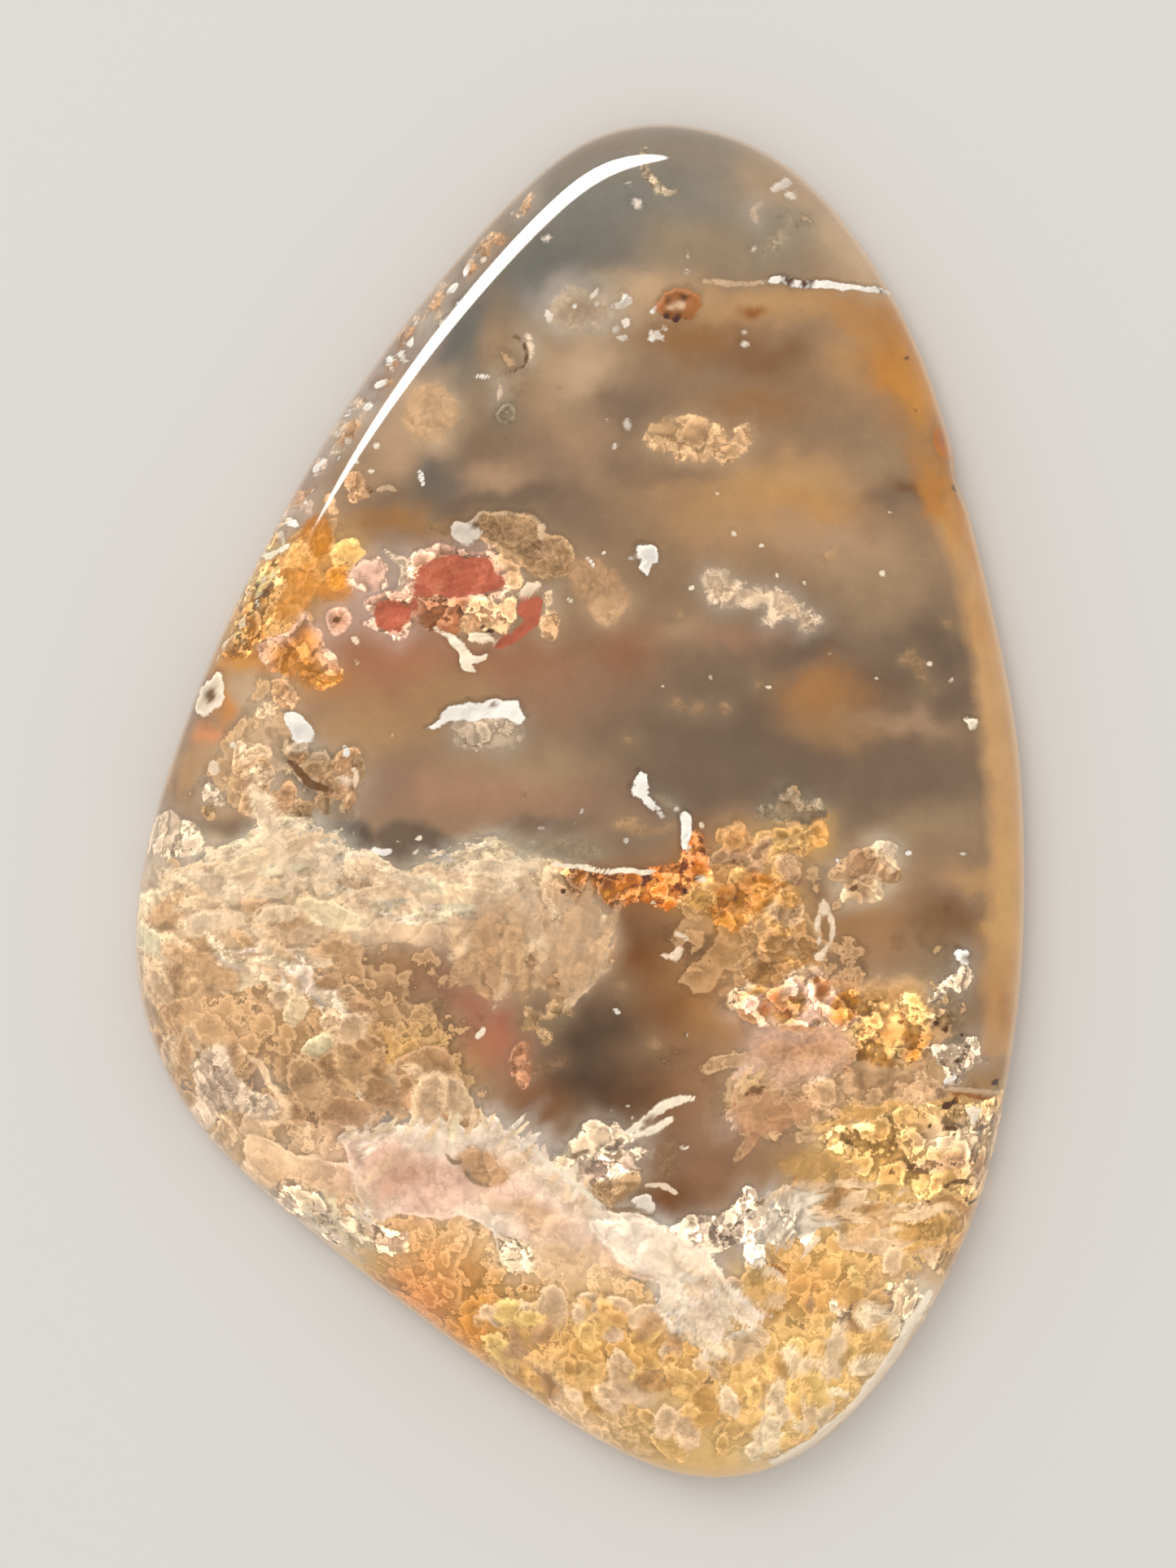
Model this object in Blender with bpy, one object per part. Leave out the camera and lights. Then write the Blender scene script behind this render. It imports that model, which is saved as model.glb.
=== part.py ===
"""A plume agate cabochon: one freeform polished stone with a low dome and a flat back.

Metres, +Z up. The origin is the middle of the flat back, centred on the stone's width and
length. +Y runs along the stone to its narrow end. Sizes below are in millimetres.
"""
import math

import bmesh
import bpy
import numpy as np

MM = 0.001

# Driving sizes
THICKNESS = 5.0
BASE_BEVEL = 0.40
GIRDLE_HEIGHT = 0.80

# The domed top climbs in three parts: a tight rolled edge, a shoulder and a broad crown
EDGE_RISE = 0.62
EDGE_REACH = 0.25
SHOULDER_REACH = 1.40
CROWN_RISE = 0.45

# Sampling of the surface
POINTS_AROUND = 128
EDGE_INSETS = (0.0, 0.08, 0.20, 0.38, 0.62, 0.92, 1.30, 1.75, 2.30, 3.00, 3.90)
CROWN_RINGS = 6

# The stone's outline seen from above, counter-clockwise from the middle of the right side
OUTLINE = (
    (16.45, -1.90), (16.20, 2.25), (15.50, 6.10), (14.65, 9.70), (13.75, 13.15), (12.55, 16.70),
    (10.60, 20.25), (8.10, 23.15), (5.30, 24.65), (2.80, 25.00), (0.35, 24.40), (-1.95, 22.70),
    (-4.25, 20.30), (-6.55, 17.50), (-8.90, 14.15), (-11.20, 10.20), (-13.25, 6.15),
    (-15.00, 1.75), (-16.05, -1.90), (-16.45, -5.40), (-15.80, -8.90), (-14.10, -12.00),
    (-11.30, -14.80), (-7.90, -17.55), (-4.30, -20.25), (-1.20, -22.40), (1.90, -24.20),
    (5.20, -25.00), (8.30, -24.05), (10.95, -21.65), (13.20, -18.35), (14.80, -14.70),
    (15.80, -10.50), (16.35, -6.20),
)

# A small chip broken out of the right side
CHIP_EDGE = (14.12, 11.85)
CHIP_HEIGHT = 1.30
CHIP_RADIUS = 2.60
CHIP_DEPTH = 0.30

# Polished agate
STONE_COLOUR = (0.50, 0.34, 0.21, 1.0)
STONE_ROUGHNESS = 0.08
STONE_METALLIC = 0.0
STONE_IOR = 1.54


def clear_scene():
    """Remove every object that is already there."""
    for old in list(bpy.data.objects):
        bpy.data.objects.remove(old, do_unlink=True)


def smooth_closed_curve(points, count):
    """Return count points, evenly spaced, on the closed cubic spline through points."""
    knots = np.array(points, dtype=float)
    total = len(knots)
    ahead = np.roll(knots, -1, axis=0)
    span = np.linalg.norm(ahead - knots, axis=1)
    slope = (ahead - knots) / span[:, None]
    system = np.zeros((total, total))
    for i in range(total):
        system[i, i - 1] += span[i - 1]
        system[i, i] += 2.0 * (span[i - 1] + span[i])
        system[i, (i + 1) % total] += span[i]
    bend = np.linalg.solve(system, 6.0 * (slope - np.roll(slope, 1, axis=0)))

    steps = 40
    fine = []
    for i in range(total):
        j = (i + 1) % total
        for step in range(steps):
            t = span[i] * step / steps
            s = span[i] - t
            cubic = (bend[i] * s ** 3 + bend[j] * t ** 3) / (6.0 * span[i])
            start = (knots[i] / span[i] - bend[i] * span[i] / 6.0) * s
            end = (knots[j] / span[i] - bend[j] * span[i] / 6.0) * t
            fine.append(cubic + start + end)
    fine = np.array(fine)

    closed = np.vstack([fine, fine[:1]])
    travelled = np.concatenate([[0.0], np.cumsum(np.linalg.norm(np.diff(closed, axis=0), axis=1))])
    wanted = np.linspace(0.0, travelled[-1], count, endpoint=False)
    x = np.interp(wanted, travelled, closed[:, 0])
    y = np.interp(wanted, travelled, closed[:, 1])
    return np.stack([x, y], axis=1)


def outward_normals(loop):
    """Return the unit normals of a counter-clockwise loop of points."""
    along = np.roll(loop, -1, axis=0) - np.roll(loop, 1, axis=0)
    normal = np.stack([along[:, 1], -along[:, 0]], axis=1)
    return normal / np.linalg.norm(normal, axis=1)[:, None]


def top_height(inset, radius_share):
    """Return the height of the domed top.

    inset is the distance in from the outline, and radius_share is 0 in the middle of the
    stone and 1 at its outline.
    """
    girdle_top = BASE_BEVEL + GIRDLE_HEIGHT
    shoulder_rise = THICKNESS - girdle_top - EDGE_RISE - CROWN_RISE
    edge = EDGE_RISE * (1.0 - math.exp(-inset / EDGE_REACH))
    shoulder = shoulder_rise * (1.0 - math.exp(-inset / SHOULDER_REACH))
    crown = CROWN_RISE * (1.0 - radius_share ** 2)
    return girdle_top + edge + shoulder + crown


def surface_rings(outline):
    """Return the rings of (x, y, z) from the flat back's edge up to the crown."""
    normals = outward_normals(outline)
    reach = np.linalg.norm(outline, axis=1)
    rings = []

    back = outline - normals * BASE_BEVEL
    rings.append([(x, y, 0.0) for x, y in back])
    rings.append([(x, y, BASE_BEVEL) for x, y in outline])

    for inset in EDGE_INSETS:
        loop = outline - normals * inset
        share = np.linalg.norm(loop, axis=1) / reach
        rings.append([(x, y, top_height(inset, f)) for (x, y), f in zip(loop, share)])

    shoulder = outline - normals * EDGE_INSETS[-1]
    for ring in range(1, CROWN_RINGS):
        loop = shoulder * (1.0 - ring / CROWN_RINGS)
        heights = []
        for point in loop:
            inset = np.linalg.norm(outline - point, axis=1).min()
            share = np.linalg.norm(point) / reach[len(heights)]
            heights.append(top_height(inset, share))
        rings.append([(x, y, z) for (x, y), z in zip(loop, heights)])
    return rings


def stone_mesh(outline):
    """Return the closed mesh of the stone before it was chipped."""
    mesh = bpy.data.meshes.new("cabochon")
    bm = bmesh.new()
    loops = []
    for ring in surface_rings(outline):
        loops.append([bm.verts.new((x * MM, y * MM, z * MM)) for x, y, z in ring])
    bm.faces.new(list(reversed(loops[0])))
    for lower, upper in zip(loops, loops[1:]):
        for i in range(POINTS_AROUND):
            j = (i + 1) % POINTS_AROUND
            bm.faces.new((lower[i], lower[j], upper[j], upper[i]))
    middle_inset = np.linalg.norm(outline, axis=1).min()
    peak = bm.verts.new((0.0, 0.0, top_height(middle_inset, 0.0) * MM))
    for i in range(POINTS_AROUND):
        bm.faces.new((loops[-1][i], loops[-1][(i + 1) % POINTS_AROUND], peak))
    bm.normal_update()
    bm.to_mesh(mesh)
    bm.free()
    return mesh


def agate():
    """Return the stone's material."""
    material = bpy.data.materials.new("polished_agate")
    material.use_nodes = True
    shader = material.node_tree.nodes["Principled BSDF"]
    shader.inputs["Base Color"].default_value = STONE_COLOUR
    shader.inputs["Roughness"].default_value = STONE_ROUGHNESS
    shader.inputs["Metallic"].default_value = STONE_METALLIC
    shader.inputs["IOR"].default_value = STONE_IOR
    material.diffuse_color = STONE_COLOUR
    return material


def chip_cutter(outline):
    """Return a hidden ball that stands where the chip broke away."""
    nearest = np.linalg.norm(outline - np.array(CHIP_EDGE), axis=1).argmin()
    normal = outward_normals(outline)[nearest]
    centre = outline[nearest] + normal * (CHIP_RADIUS - CHIP_DEPTH)
    mesh = bpy.data.meshes.new("chip_ball")
    bm = bmesh.new()
    bmesh.ops.create_icosphere(bm, subdivisions=4, radius=CHIP_RADIUS * MM)
    bm.to_mesh(mesh)
    bm.free()
    ball = bpy.data.objects.new("chip_ball", mesh)
    ball.location = (centre[0] * MM, centre[1] * MM, CHIP_HEIGHT * MM)
    ball.hide_render = True
    ball.display_type = "WIRE"
    bpy.context.scene.collection.objects.link(ball)
    return ball


def build_cabochon():
    """Build the polished stone with its one chip."""
    outline = smooth_closed_curve(OUTLINE, POINTS_AROUND)
    mesh = stone_mesh(outline)
    mesh.shade_smooth()
    mesh.set_sharp_from_angle(angle=math.radians(35.0))
    stone = bpy.data.objects.new("cabochon", mesh)
    stone.data.materials.append(agate())
    bpy.context.scene.collection.objects.link(stone)
    cut = stone.modifiers.new("chip", "BOOLEAN")
    cut.operation = "DIFFERENCE"
    cut.solver = "EXACT"
    cut.object = chip_cutter(outline)
    return stone


def main():
    """Build the whole object."""
    clear_scene()
    build_cabochon()


main()
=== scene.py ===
"""Looks of a plume agate cabochon: one polished stone with feathery plumes in clear agate.

The stone's sizes and the places of its markings are in millimetres, with the origin in the
middle of the flat back, +Y towards the narrow end and +Z up out of the dome.
"""

import logging
import math
from dataclasses import dataclass, field, fields
from enum import Enum

import bpy
import numpy as np
from mathutils import Matrix, Vector


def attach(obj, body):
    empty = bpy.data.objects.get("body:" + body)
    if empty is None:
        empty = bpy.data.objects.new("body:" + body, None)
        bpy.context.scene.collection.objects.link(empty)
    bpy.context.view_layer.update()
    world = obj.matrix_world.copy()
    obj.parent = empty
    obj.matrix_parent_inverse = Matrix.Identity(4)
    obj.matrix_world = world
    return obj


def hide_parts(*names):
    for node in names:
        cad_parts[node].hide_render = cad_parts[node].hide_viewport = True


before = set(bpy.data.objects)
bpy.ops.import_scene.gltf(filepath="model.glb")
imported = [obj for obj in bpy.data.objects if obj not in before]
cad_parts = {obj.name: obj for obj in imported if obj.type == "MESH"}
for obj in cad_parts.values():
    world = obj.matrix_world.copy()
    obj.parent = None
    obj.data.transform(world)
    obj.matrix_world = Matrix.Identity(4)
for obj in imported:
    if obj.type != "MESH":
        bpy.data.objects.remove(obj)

MM = 0.001
LOG = logging.getLogger("cabochon")
Socket = bpy.types.NodeSocket


class Wiring:
    """Adds nodes to one tree and joins them, so that a formula reads as a formula."""

    def __init__(self, tree: bpy.types.NodeTree) -> None:
        """Keep the tree that the nodes go into."""
        self.tree = tree

    @classmethod
    def group(cls, name: str, inputs: dict[str, str], outputs: dict[str, str],
              kind: str = "ShaderNodeTree") -> tuple["Wiring", object]:
        """Start a node group with named inputs and outputs.

        Args:
            name: the group's name.
            inputs: the sort of each input by its name.
            outputs: the sort of each output by its name.
            kind: the type of the tree.

        Returns:
            The group's wiring, and what it is given.
        """
        tree = bpy.data.node_groups.new(name, kind)
        for way, sockets in (("INPUT", inputs), ("OUTPUT", outputs)):
            for title, sort in sockets.items():
                tree.interface.new_socket(title, in_out=way, socket_type="NodeSocket" + sort)
        wire = cls(tree)
        return wire, wire.node("NodeGroupInput").outputs

    def node(self, kind: str, feeds: dict | None = None, **settings: object) -> bpy.types.Node:
        """Add one node.

        Args:
            kind: Blender's name for the node's type.
            feeds: what goes into its sockets, by name or number.
            settings: the node's own settings by name.

        Returns:
            The new node.
        """
        made = self.tree.nodes.new(kind)
        for name, value in settings.items():
            setattr(made, name, value)
        for key, value in (feeds or {}).items():
            self.feed(made.inputs[key], value)
        return made

    def result(self, **values: object) -> bpy.types.NodeTree:
        """Feed the group's outputs and return its finished tree."""
        self.node("NodeGroupOutput", values)
        return self.tree

    def feed(self, socket: Socket, value: object) -> None:
        """Link a socket to another one, or set it to a plain value.

        Args:
            socket: the input to feed.
            value: what goes into it.
        """
        if isinstance(value, bpy.types.NodeSocket):
            self.tree.links.new(value, socket)
        else:
            socket.default_value = value

    def math(self, operation: str, *values: object) -> Socket:
        """Add a Math node and return its result."""
        return self.node("ShaderNodeMath", dict(enumerate(values)), operation=operation).outputs[0]

    def clamp(self, value: object) -> Socket:
        """Hold a value between 0 and 1."""
        return self.node("ShaderNodeClamp", {"Value": value}).outputs[0]

    def vector_math(self, operation: str, *values: object) -> Socket:
        """Add a Vector Math node and return its result."""
        made = self.node("ShaderNodeVectorMath", dict(enumerate(values)), operation=operation)
        return made.outputs["Value" if operation in ("DISTANCE", "LENGTH", "DOT_PRODUCT") else 0]

    def scale(self, vector: object, amount: object) -> Socket:
        """Multiply a vector by a number."""
        feeds = {0: vector, "Scale": amount}
        return self.node("ShaderNodeVectorMath", feeds, operation="SCALE").outputs[0]

    def combine(self, x: object, y: object, z: object) -> Socket:
        """Make a vector from three numbers."""
        return self.node("ShaderNodeCombineXYZ", {0: x, 1: y, 2: z}).outputs[0]

    def separate(self, vector: object) -> tuple[Socket, Socket, Socket]:
        """Split a vector into three numbers."""
        return tuple(self.node("ShaderNodeSeparateXYZ", {0: vector}).outputs)

    def ramp(self, value: object, low: float, high: float) -> Socket:
        """Return a smooth step from 0 at low to 1 at high."""
        feeds = {"Value": value, "From Min": low, "From Max": high}
        return self.node("ShaderNodeMapRange", feeds, interpolation_type="SMOOTHSTEP").outputs["Result"]

    def blend(self, amount: object, first: object, second: object) -> Socket:
        """Mix two colours, with an amount of the second one from 0 to 1."""
        feeds = {0: amount, 6: first, 7: second}
        return self.node("ShaderNodeMix", feeds, data_type="RGBA").outputs[2]

    def pick(self, test: Socket, if_false: object, if_true: object) -> Socket:
        """Choose one of two numbers by a test, in a geometry tree."""
        feeds = {0: test, 1: if_false, 2: if_true}
        return self.node("GeometryNodeSwitch", feeds, input_type="FLOAT").outputs[0]

    def is_true(self, operation: str, first: object, second: object) -> Socket:
        """Compare two numbers, in a geometry tree."""
        feeds = {0: first, 1: second}
        return self.node("FunctionNodeCompare", feeds, data_type="FLOAT", operation=operation).outputs[0]

    def noise(self, place: object, frequency: object, **more: float) -> bpy.types.Node:
        """Add a noise in space, with more of its sockets set by name."""
        return self.node("ShaderNodeTexNoise", {"Vector": place, "Scale": frequency, **more})

    def placed(self, tree: bpy.types.NodeTree, **feeds: object) -> object:
        """Place a group, feed its inputs by name, and return its outputs.

        Args:
            tree: the group.
            feeds: what goes into each input.

        Returns:
            The placed group's outputs.
        """
        made = self.node("ShaderNodeGroup", node_tree=tree)
        for name, value in feeds.items():
            self.feed(made.inputs[name], value)
        return made.outputs


@dataclass
class Outline:
    """The stone's outline seen from above, as given points on a closed smooth curve."""

    knots: tuple[tuple[float, float], ...] = (
        (16.45, -1.90), (16.20, 2.25), (15.50, 6.10), (14.65, 9.70), (13.75, 13.15),
        (12.55, 16.70), (10.60, 20.25), (8.10, 23.15), (5.30, 24.65), (2.80, 25.00),
        (0.35, 24.40), (-1.95, 22.70), (-4.25, 20.30), (-6.55, 17.50), (-8.90, 14.15),
        (-11.20, 10.20), (-13.25, 6.15), (-15.00, 1.75), (-16.05, -1.90), (-16.45, -5.40),
        (-15.80, -8.90), (-14.10, -12.00), (-11.30, -14.80), (-7.90, -17.55), (-4.30, -20.25),
        (-1.20, -22.40), (1.90, -24.20), (5.20, -25.00), (8.30, -24.05), (10.95, -21.65),
        (13.20, -18.35), (14.80, -14.70), (15.80, -10.50), (16.35, -6.20),
    )
    count: int = 2400

    def points(self) -> np.ndarray:
        """Return evenly spaced points on the closed cubic spline through the knots.

        Returns:
            The points, one row each.
        """
        knots = np.array(self.knots)
        total = len(knots)
        ahead = np.roll(knots, -1, axis=0)
        span = np.linalg.norm(ahead - knots, axis=1)
        slope = (ahead - knots) / span[:, None]
        system = np.zeros((total, total))
        for i in range(total):
            system[i, i - 1] += span[i - 1]
            system[i, i] += 2.0 * (span[i - 1] + span[i])
            system[i, (i + 1) % total] += span[i]
        bend = np.linalg.solve(system, 6.0 * (slope - np.roll(slope, 1, axis=0)))
        fine = []
        for i in range(total):
            j = (i + 1) % total
            t = np.linspace(0.0, span[i], 100, endpoint=False)[:, None]
            s = span[i] - t
            cubic = (bend[i] * s ** 3 + bend[j] * t ** 3) / (6.0 * span[i])
            start = (knots[i] / span[i] - bend[i] * span[i] / 6.0) * s
            end = (knots[j] / span[i] - bend[j] * span[i] / 6.0) * t
            fine.append(cubic + start + end)
        loop = np.vstack(fine + [fine[0][:1]])
        steps = np.linalg.norm(np.diff(loop, axis=0), axis=1)
        travelled = np.concatenate([[0.0], np.cumsum(steps)])
        wanted = np.linspace(0.0, travelled[-1], self.count, endpoint=False)
        x = np.interp(wanted, travelled, loop[:, 0])
        y = np.interp(wanted, travelled, loop[:, 1])
        return np.stack([x, y], axis=1)

    def polyline(self) -> bpy.types.Object:
        """Return the outline as a mesh of edges in the scene.

        Returns:
            The object that holds the edges.
        """
        points = self.points()
        mesh = bpy.data.meshes.new("outline")
        corners = [(x, y, 0.0) for x, y in points]
        edges = [(i, (i + 1) % self.count) for i in range(self.count)]
        mesh.from_pydata(corners, edges, [])
        made = bpy.data.objects.new("outline", mesh)
        bpy.context.scene.collection.objects.link(made)
        return made


@dataclass
class StoneForm:
    """The dressed stone's form: a fine grid drawn out to the outline and raised to a dome."""

    outline: Outline = field(default_factory=Outline)
    thickness: float = 5.0
    base_bevel: float = 0.40
    girdle_height: float = 0.80
    edge_rise: float = 0.62
    edge_reach: float = 0.25
    shoulder_reach: float = 1.40
    crown_rise: float = 0.45
    cells_across: int = 232
    cells_along: int = 368
    back_coarseness: int = 4
    wall_rows: int = 6
    chip_edge: tuple[float, float] = (14.12, 11.85)
    chip_height: float = 1.30
    chip_radius: float = 2.60
    chip_depth: float = 0.30
    chip_wobble: float = 0.16
    ring_start: float = 0.98
    merge_distance: float = 0.002

    def chip_centre(self) -> tuple[float, float, float]:
        """Return the middle of the ball that the chip's scoop follows.

        Returns:
            Its place, in millimetres.
        """
        points = self.outline.points()
        nearest = np.linalg.norm(points - np.array(self.chip_edge), axis=1).argmin()
        along = points[(nearest + 1) % len(points)] - points[nearest - 1]
        outward = np.array([along[1], -along[0]]) / np.linalg.norm(along)
        centre = points[nearest] + outward * (self.chip_radius - self.chip_depth)
        return float(centre[0]), float(centre[1]), self.chip_height

    def inputs(self) -> dict[str, float]:
        """Return the tree's named sizes.

        Returns:
            Each size by its input's name.
        """
        return {
            "Thickness": self.thickness,
            "Base Bevel": self.base_bevel,
            "Girdle Top": self.base_bevel + self.girdle_height,
            "Edge Rise": self.edge_rise,
            "Edge Reach": self.edge_reach,
            "Shoulder Reach": self.shoulder_reach,
            "Crown Rise": self.crown_rise,
            "Chip Radius": self.chip_radius,
        }

    def tree(self) -> bpy.types.NodeTree:
        """Build the Geometry Nodes tree that shapes the stone from its outline.

        Returns:
            The tree, with a named input for each size.
        """
        sizes = {name: "Float" for name in self.inputs()}
        wire, given = Wiring.group(
            "stone_form", {"Outline": "Geometry", **sizes, "Chip Centre": "Vector", "Finish": "Material"},
            {"Stone": "Geometry"}, "GeometryNodeTree")
        curve = wire.node("GeometryNodeMeshToCurve", {"Mesh": given["Outline"]}).outputs[0]
        joined = wire.node("GeometryNodeJoinGeometry")
        for part in (self.dome, self.wall, self.back, self.back_ring):
            wire.feed(joined.inputs[0], part(wire, given, curve))
        merged = wire.node("GeometryNodeMergeByDistance",
                           {"Geometry": joined.outputs[0], "Distance": self.merge_distance})
        chipped = self.chip(wire, given, merged.outputs[0])
        smooth = wire.node("GeometryNodeSetShadeSmooth", {0: chipped})
        metres = wire.node("GeometryNodeTransform", {"Geometry": smooth.outputs[0], "Scale": (MM, MM, MM)})
        real = wire.node("GeometryNodeRealizeInstances", {0: metres.outputs[0]})
        finish = wire.node("GeometryNodeSetMaterial",
                           {"Geometry": real.outputs[0], "Material": given["Finish"]})
        return wire.result(Stone=finish.outputs[0])

    def on_outline(self, wire: Wiring, curve: Socket, share: Socket) -> tuple[Socket, Socket]:
        """Return the outline's place and outward normal at a share of its length.

        Args:
            wire: the tree's wiring.
            curve: the outline as a curve.
            share: the share of its length, from 0 to 1.

        Returns:
            The place and the normal.
        """
        sample = wire.node("GeometryNodeSampleCurve", {"Curves": curve, "Factor": share},
                           mode="FACTOR", data_type="FLOAT_VECTOR")
        along_x, along_y, _ = wire.separate(sample.outputs["Tangent"])
        outward = wire.combine(along_y, wire.math("MULTIPLY", along_x, -1.0), 0.0)
        return sample.outputs["Position"], outward

    def grid(self, wire: Wiring, across: int, along: int) -> tuple[Socket, Socket, Socket]:
        """Add a flat grid whose rings can be drawn out to the outline.

        Args:
            wire: the tree's wiring.
            across: how many cells the grid has along X, an even number.
            along: how many cells it has along Y, an even number.

        Returns:
            The grid, each point's share of the way out, and its share of the way round.
        """
        mesh = wire.node("GeometryNodeMeshGrid", {"Size X": float(across), "Size Y": float(along),
                                                  "Vertices X": across + 1, "Vertices Y": along + 1})
        half_x = across / 2.0
        half_y = along / 2.0
        x, y, _ = wire.separate(wire.node("GeometryNodeInputPosition").outputs[0])
        out_x = wire.math("DIVIDE", wire.math("ABSOLUTE", x), half_x)
        out_y = wire.math("DIVIDE", wire.math("ABSOLUTE", y), half_y)
        out = wire.math("MAXIMUM", out_x, out_y)
        edge_x = wire.math("DIVIDE", x, out)
        edge_y = wire.math("DIVIDE", y, out)
        half_turn = 2.0 * (half_x + half_y)
        east = wire.math("ADD", edge_y, 2.0 * half_turn)
        west = wire.math("SUBTRACT", half_turn, edge_y)
        north = wire.math("SUBTRACT", half_turn / 2.0, edge_x)
        south = wire.math("ADD", 1.5 * half_turn, edge_x)
        side = wire.pick(wire.is_true("GREATER_THAN", x, 0.0), west, east)
        end = wire.pick(wire.is_true("GREATER_THAN", y, 0.0), south, north)
        on_side = wire.is_true("GREATER_EQUAL", out_x, out_y)
        steps = wire.pick(on_side, end, side)
        round_share = wire.math("FRACT", wire.math("DIVIDE", steps, 2.0 * half_turn))
        return mesh.outputs["Mesh"], out, round_share

    def dome(self, wire: Wiring, given: object, curve: Socket) -> Socket:
        """Return the domed top, from its crown out to the girdle.

        Args:
            wire: the tree's wiring.
            given: the tree's inputs.
            curve: the outline as a curve.

        Returns:
            The dome's mesh.
        """
        mesh, out, share = self.grid(wire, self.cells_across, self.cells_along)
        edge, _ = self.on_outline(wire, curve, share)
        flat = wire.scale(edge, out)
        near = wire.node("GeometryNodeProximity", {0: given["Outline"], "Sample Position": flat},
                         target_element="EDGES")
        inset = near.outputs["Distance"]

        def climb(rise: Socket, reach: Socket) -> Socket:
            """Return a rise that is steep at the outline and fades inward."""
            fade = wire.math("EXPONENT", wire.math("DIVIDE", inset, wire.math("MULTIPLY", reach, -1.0)))
            return wire.math("MULTIPLY", rise, wire.math("SUBTRACT", 1.0, fade))

        rest = wire.math("SUBTRACT", given["Thickness"], given["Girdle Top"])
        rest = wire.math("SUBTRACT", rest, given["Edge Rise"])
        rest = wire.math("SUBTRACT", rest, given["Crown Rise"])
        crown = wire.math("MULTIPLY", given["Crown Rise"],
                          wire.math("SUBTRACT", 1.0, wire.math("MULTIPLY", out, out)))
        height = wire.math("ADD", given["Girdle Top"], climb(given["Edge Rise"], given["Edge Reach"]))
        height = wire.math("ADD", height, climb(rest, given["Shoulder Reach"]))
        height = wire.math("ADD", height, crown)
        place = wire.vector_math("ADD", flat, wire.combine(0.0, 0.0, height))
        return self.moved(wire, mesh, place)

    def moved(self, wire: Wiring, geometry: Socket, place: Socket) -> Socket:
        """Return the geometry with its points set to a new place."""
        return wire.node("GeometryNodeSetPosition", {"Geometry": geometry, "Position": place}).outputs[0]

    def wall(self, wire: Wiring, given: object, curve: Socket) -> Socket:
        """Return the upright girdle and the bevel under it.

        Args:
            wire: the tree's wiring.
            given: the tree's inputs.
            curve: the outline as a curve.

        Returns:
            The wall's mesh.
        """
        around = 2 * (self.cells_across + self.cells_along)
        mesh = wire.node("GeometryNodeMeshGrid", {"Size X": 1.0, "Size Y": 1.0, "Vertices X": around + 1,
                                                  "Vertices Y": self.wall_rows + 1})
        x, y, _ = wire.separate(wire.node("GeometryNodeInputPosition").outputs[0])
        edge, outward = self.on_outline(wire, curve, wire.math("ADD", x, 0.5))
        height = wire.math("MULTIPLY", wire.math("ADD", y, 0.5), given["Girdle Top"])
        inset = wire.math("MAXIMUM", wire.math("SUBTRACT", given["Base Bevel"], height), 0.0)
        flat = wire.vector_math("SUBTRACT", edge, wire.scale(outward, inset))
        place = wire.vector_math("ADD", flat, wire.combine(0.0, 0.0, height))
        return self.moved(wire, mesh.outputs["Mesh"], place)

    def back(self, wire: Wiring, given: object, curve: Socket) -> Socket:
        """Return the middle of the flat back, as a coarser grid.

        Args:
            wire: the tree's wiring.
            given: the tree's inputs.
            curve: the outline as a curve.

        Returns:
            The mesh of the back's middle.
        """
        across = self.cells_across // self.back_coarseness
        along = self.cells_along // self.back_coarseness
        mesh, out, share = self.grid(wire, across, along)
        edge, outward = self.on_outline(wire, curve, share)
        rim = wire.vector_math("SUBTRACT", edge, wire.scale(outward, given["Base Bevel"]))
        place = wire.scale(rim, wire.math("MULTIPLY", out, self.ring_start))
        return wire.node("GeometryNodeFlipFaces", {"Mesh": self.moved(wire, mesh, place)}).outputs[0]

    def back_ring(self, wire: Wiring, given: object, curve: Socket) -> Socket:
        """Return the narrow ring of the back that joins its coarse grid to the fine bevel.

        Args:
            wire: the tree's wiring.
            given: the tree's inputs.
            curve: the outline as a curve.

        Returns:
            The ring's mesh.
        """
        around = 2 * (self.cells_across + self.cells_along)
        both = wire.node("GeometryNodeJoinGeometry")
        for count, shrink in ((around, 1.0), (around // self.back_coarseness, self.ring_start)):
            circle = wire.node("GeometryNodeCurvePrimitiveCircle", {"Resolution": count})
            index = wire.node("GeometryNodeInputIndex").outputs[0]
            share = wire.math("DIVIDE", index, float(count))
            edge, outward = self.on_outline(wire, curve, share)
            rim = wire.vector_math("SUBTRACT", edge, wire.scale(outward, given["Base Bevel"]))
            wire.feed(both.inputs[0], self.moved(wire, circle.outputs["Curve"], wire.scale(rim, shrink)))
        fill = wire.node("GeometryNodeFillCurve", {"Curve": both.outputs[0]})
        return wire.node("GeometryNodeFlipFaces", {"Mesh": fill.outputs[0]}).outputs[0]

    def chip(self, wire: Wiring, given: object, geometry: Socket) -> Socket:
        """Press a shallow scoop into the right side where a chip broke away.

        Args:
            wire: the tree's wiring.
            given: the tree's inputs.
            geometry: the whole stone.

        Returns:
            The stone with its chip.
        """
        here = wire.node("GeometryNodeInputPosition").outputs[0]
        away = wire.vector_math("SUBTRACT", here, given["Chip Centre"])
        distance = wire.vector_math("LENGTH", away)
        rough = wire.noise(here, 2.2)
        wobble = wire.math("MULTIPLY", wire.math("SUBTRACT", rough.outputs[0], 0.5), self.chip_wobble)
        radius = wire.math("ADD", given["Chip Radius"], wobble)
        inside = wire.is_true("LESS_THAN", distance, radius)
        scoop = wire.vector_math("ADD", given["Chip Centre"],
                                 wire.scale(wire.vector_math("NORMALIZE", away), radius))
        feeds = {"Geometry": geometry, "Selection": inside, "Position": scoop}
        return wire.node("GeometryNodeSetPosition", feeds).outputs[0]

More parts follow.
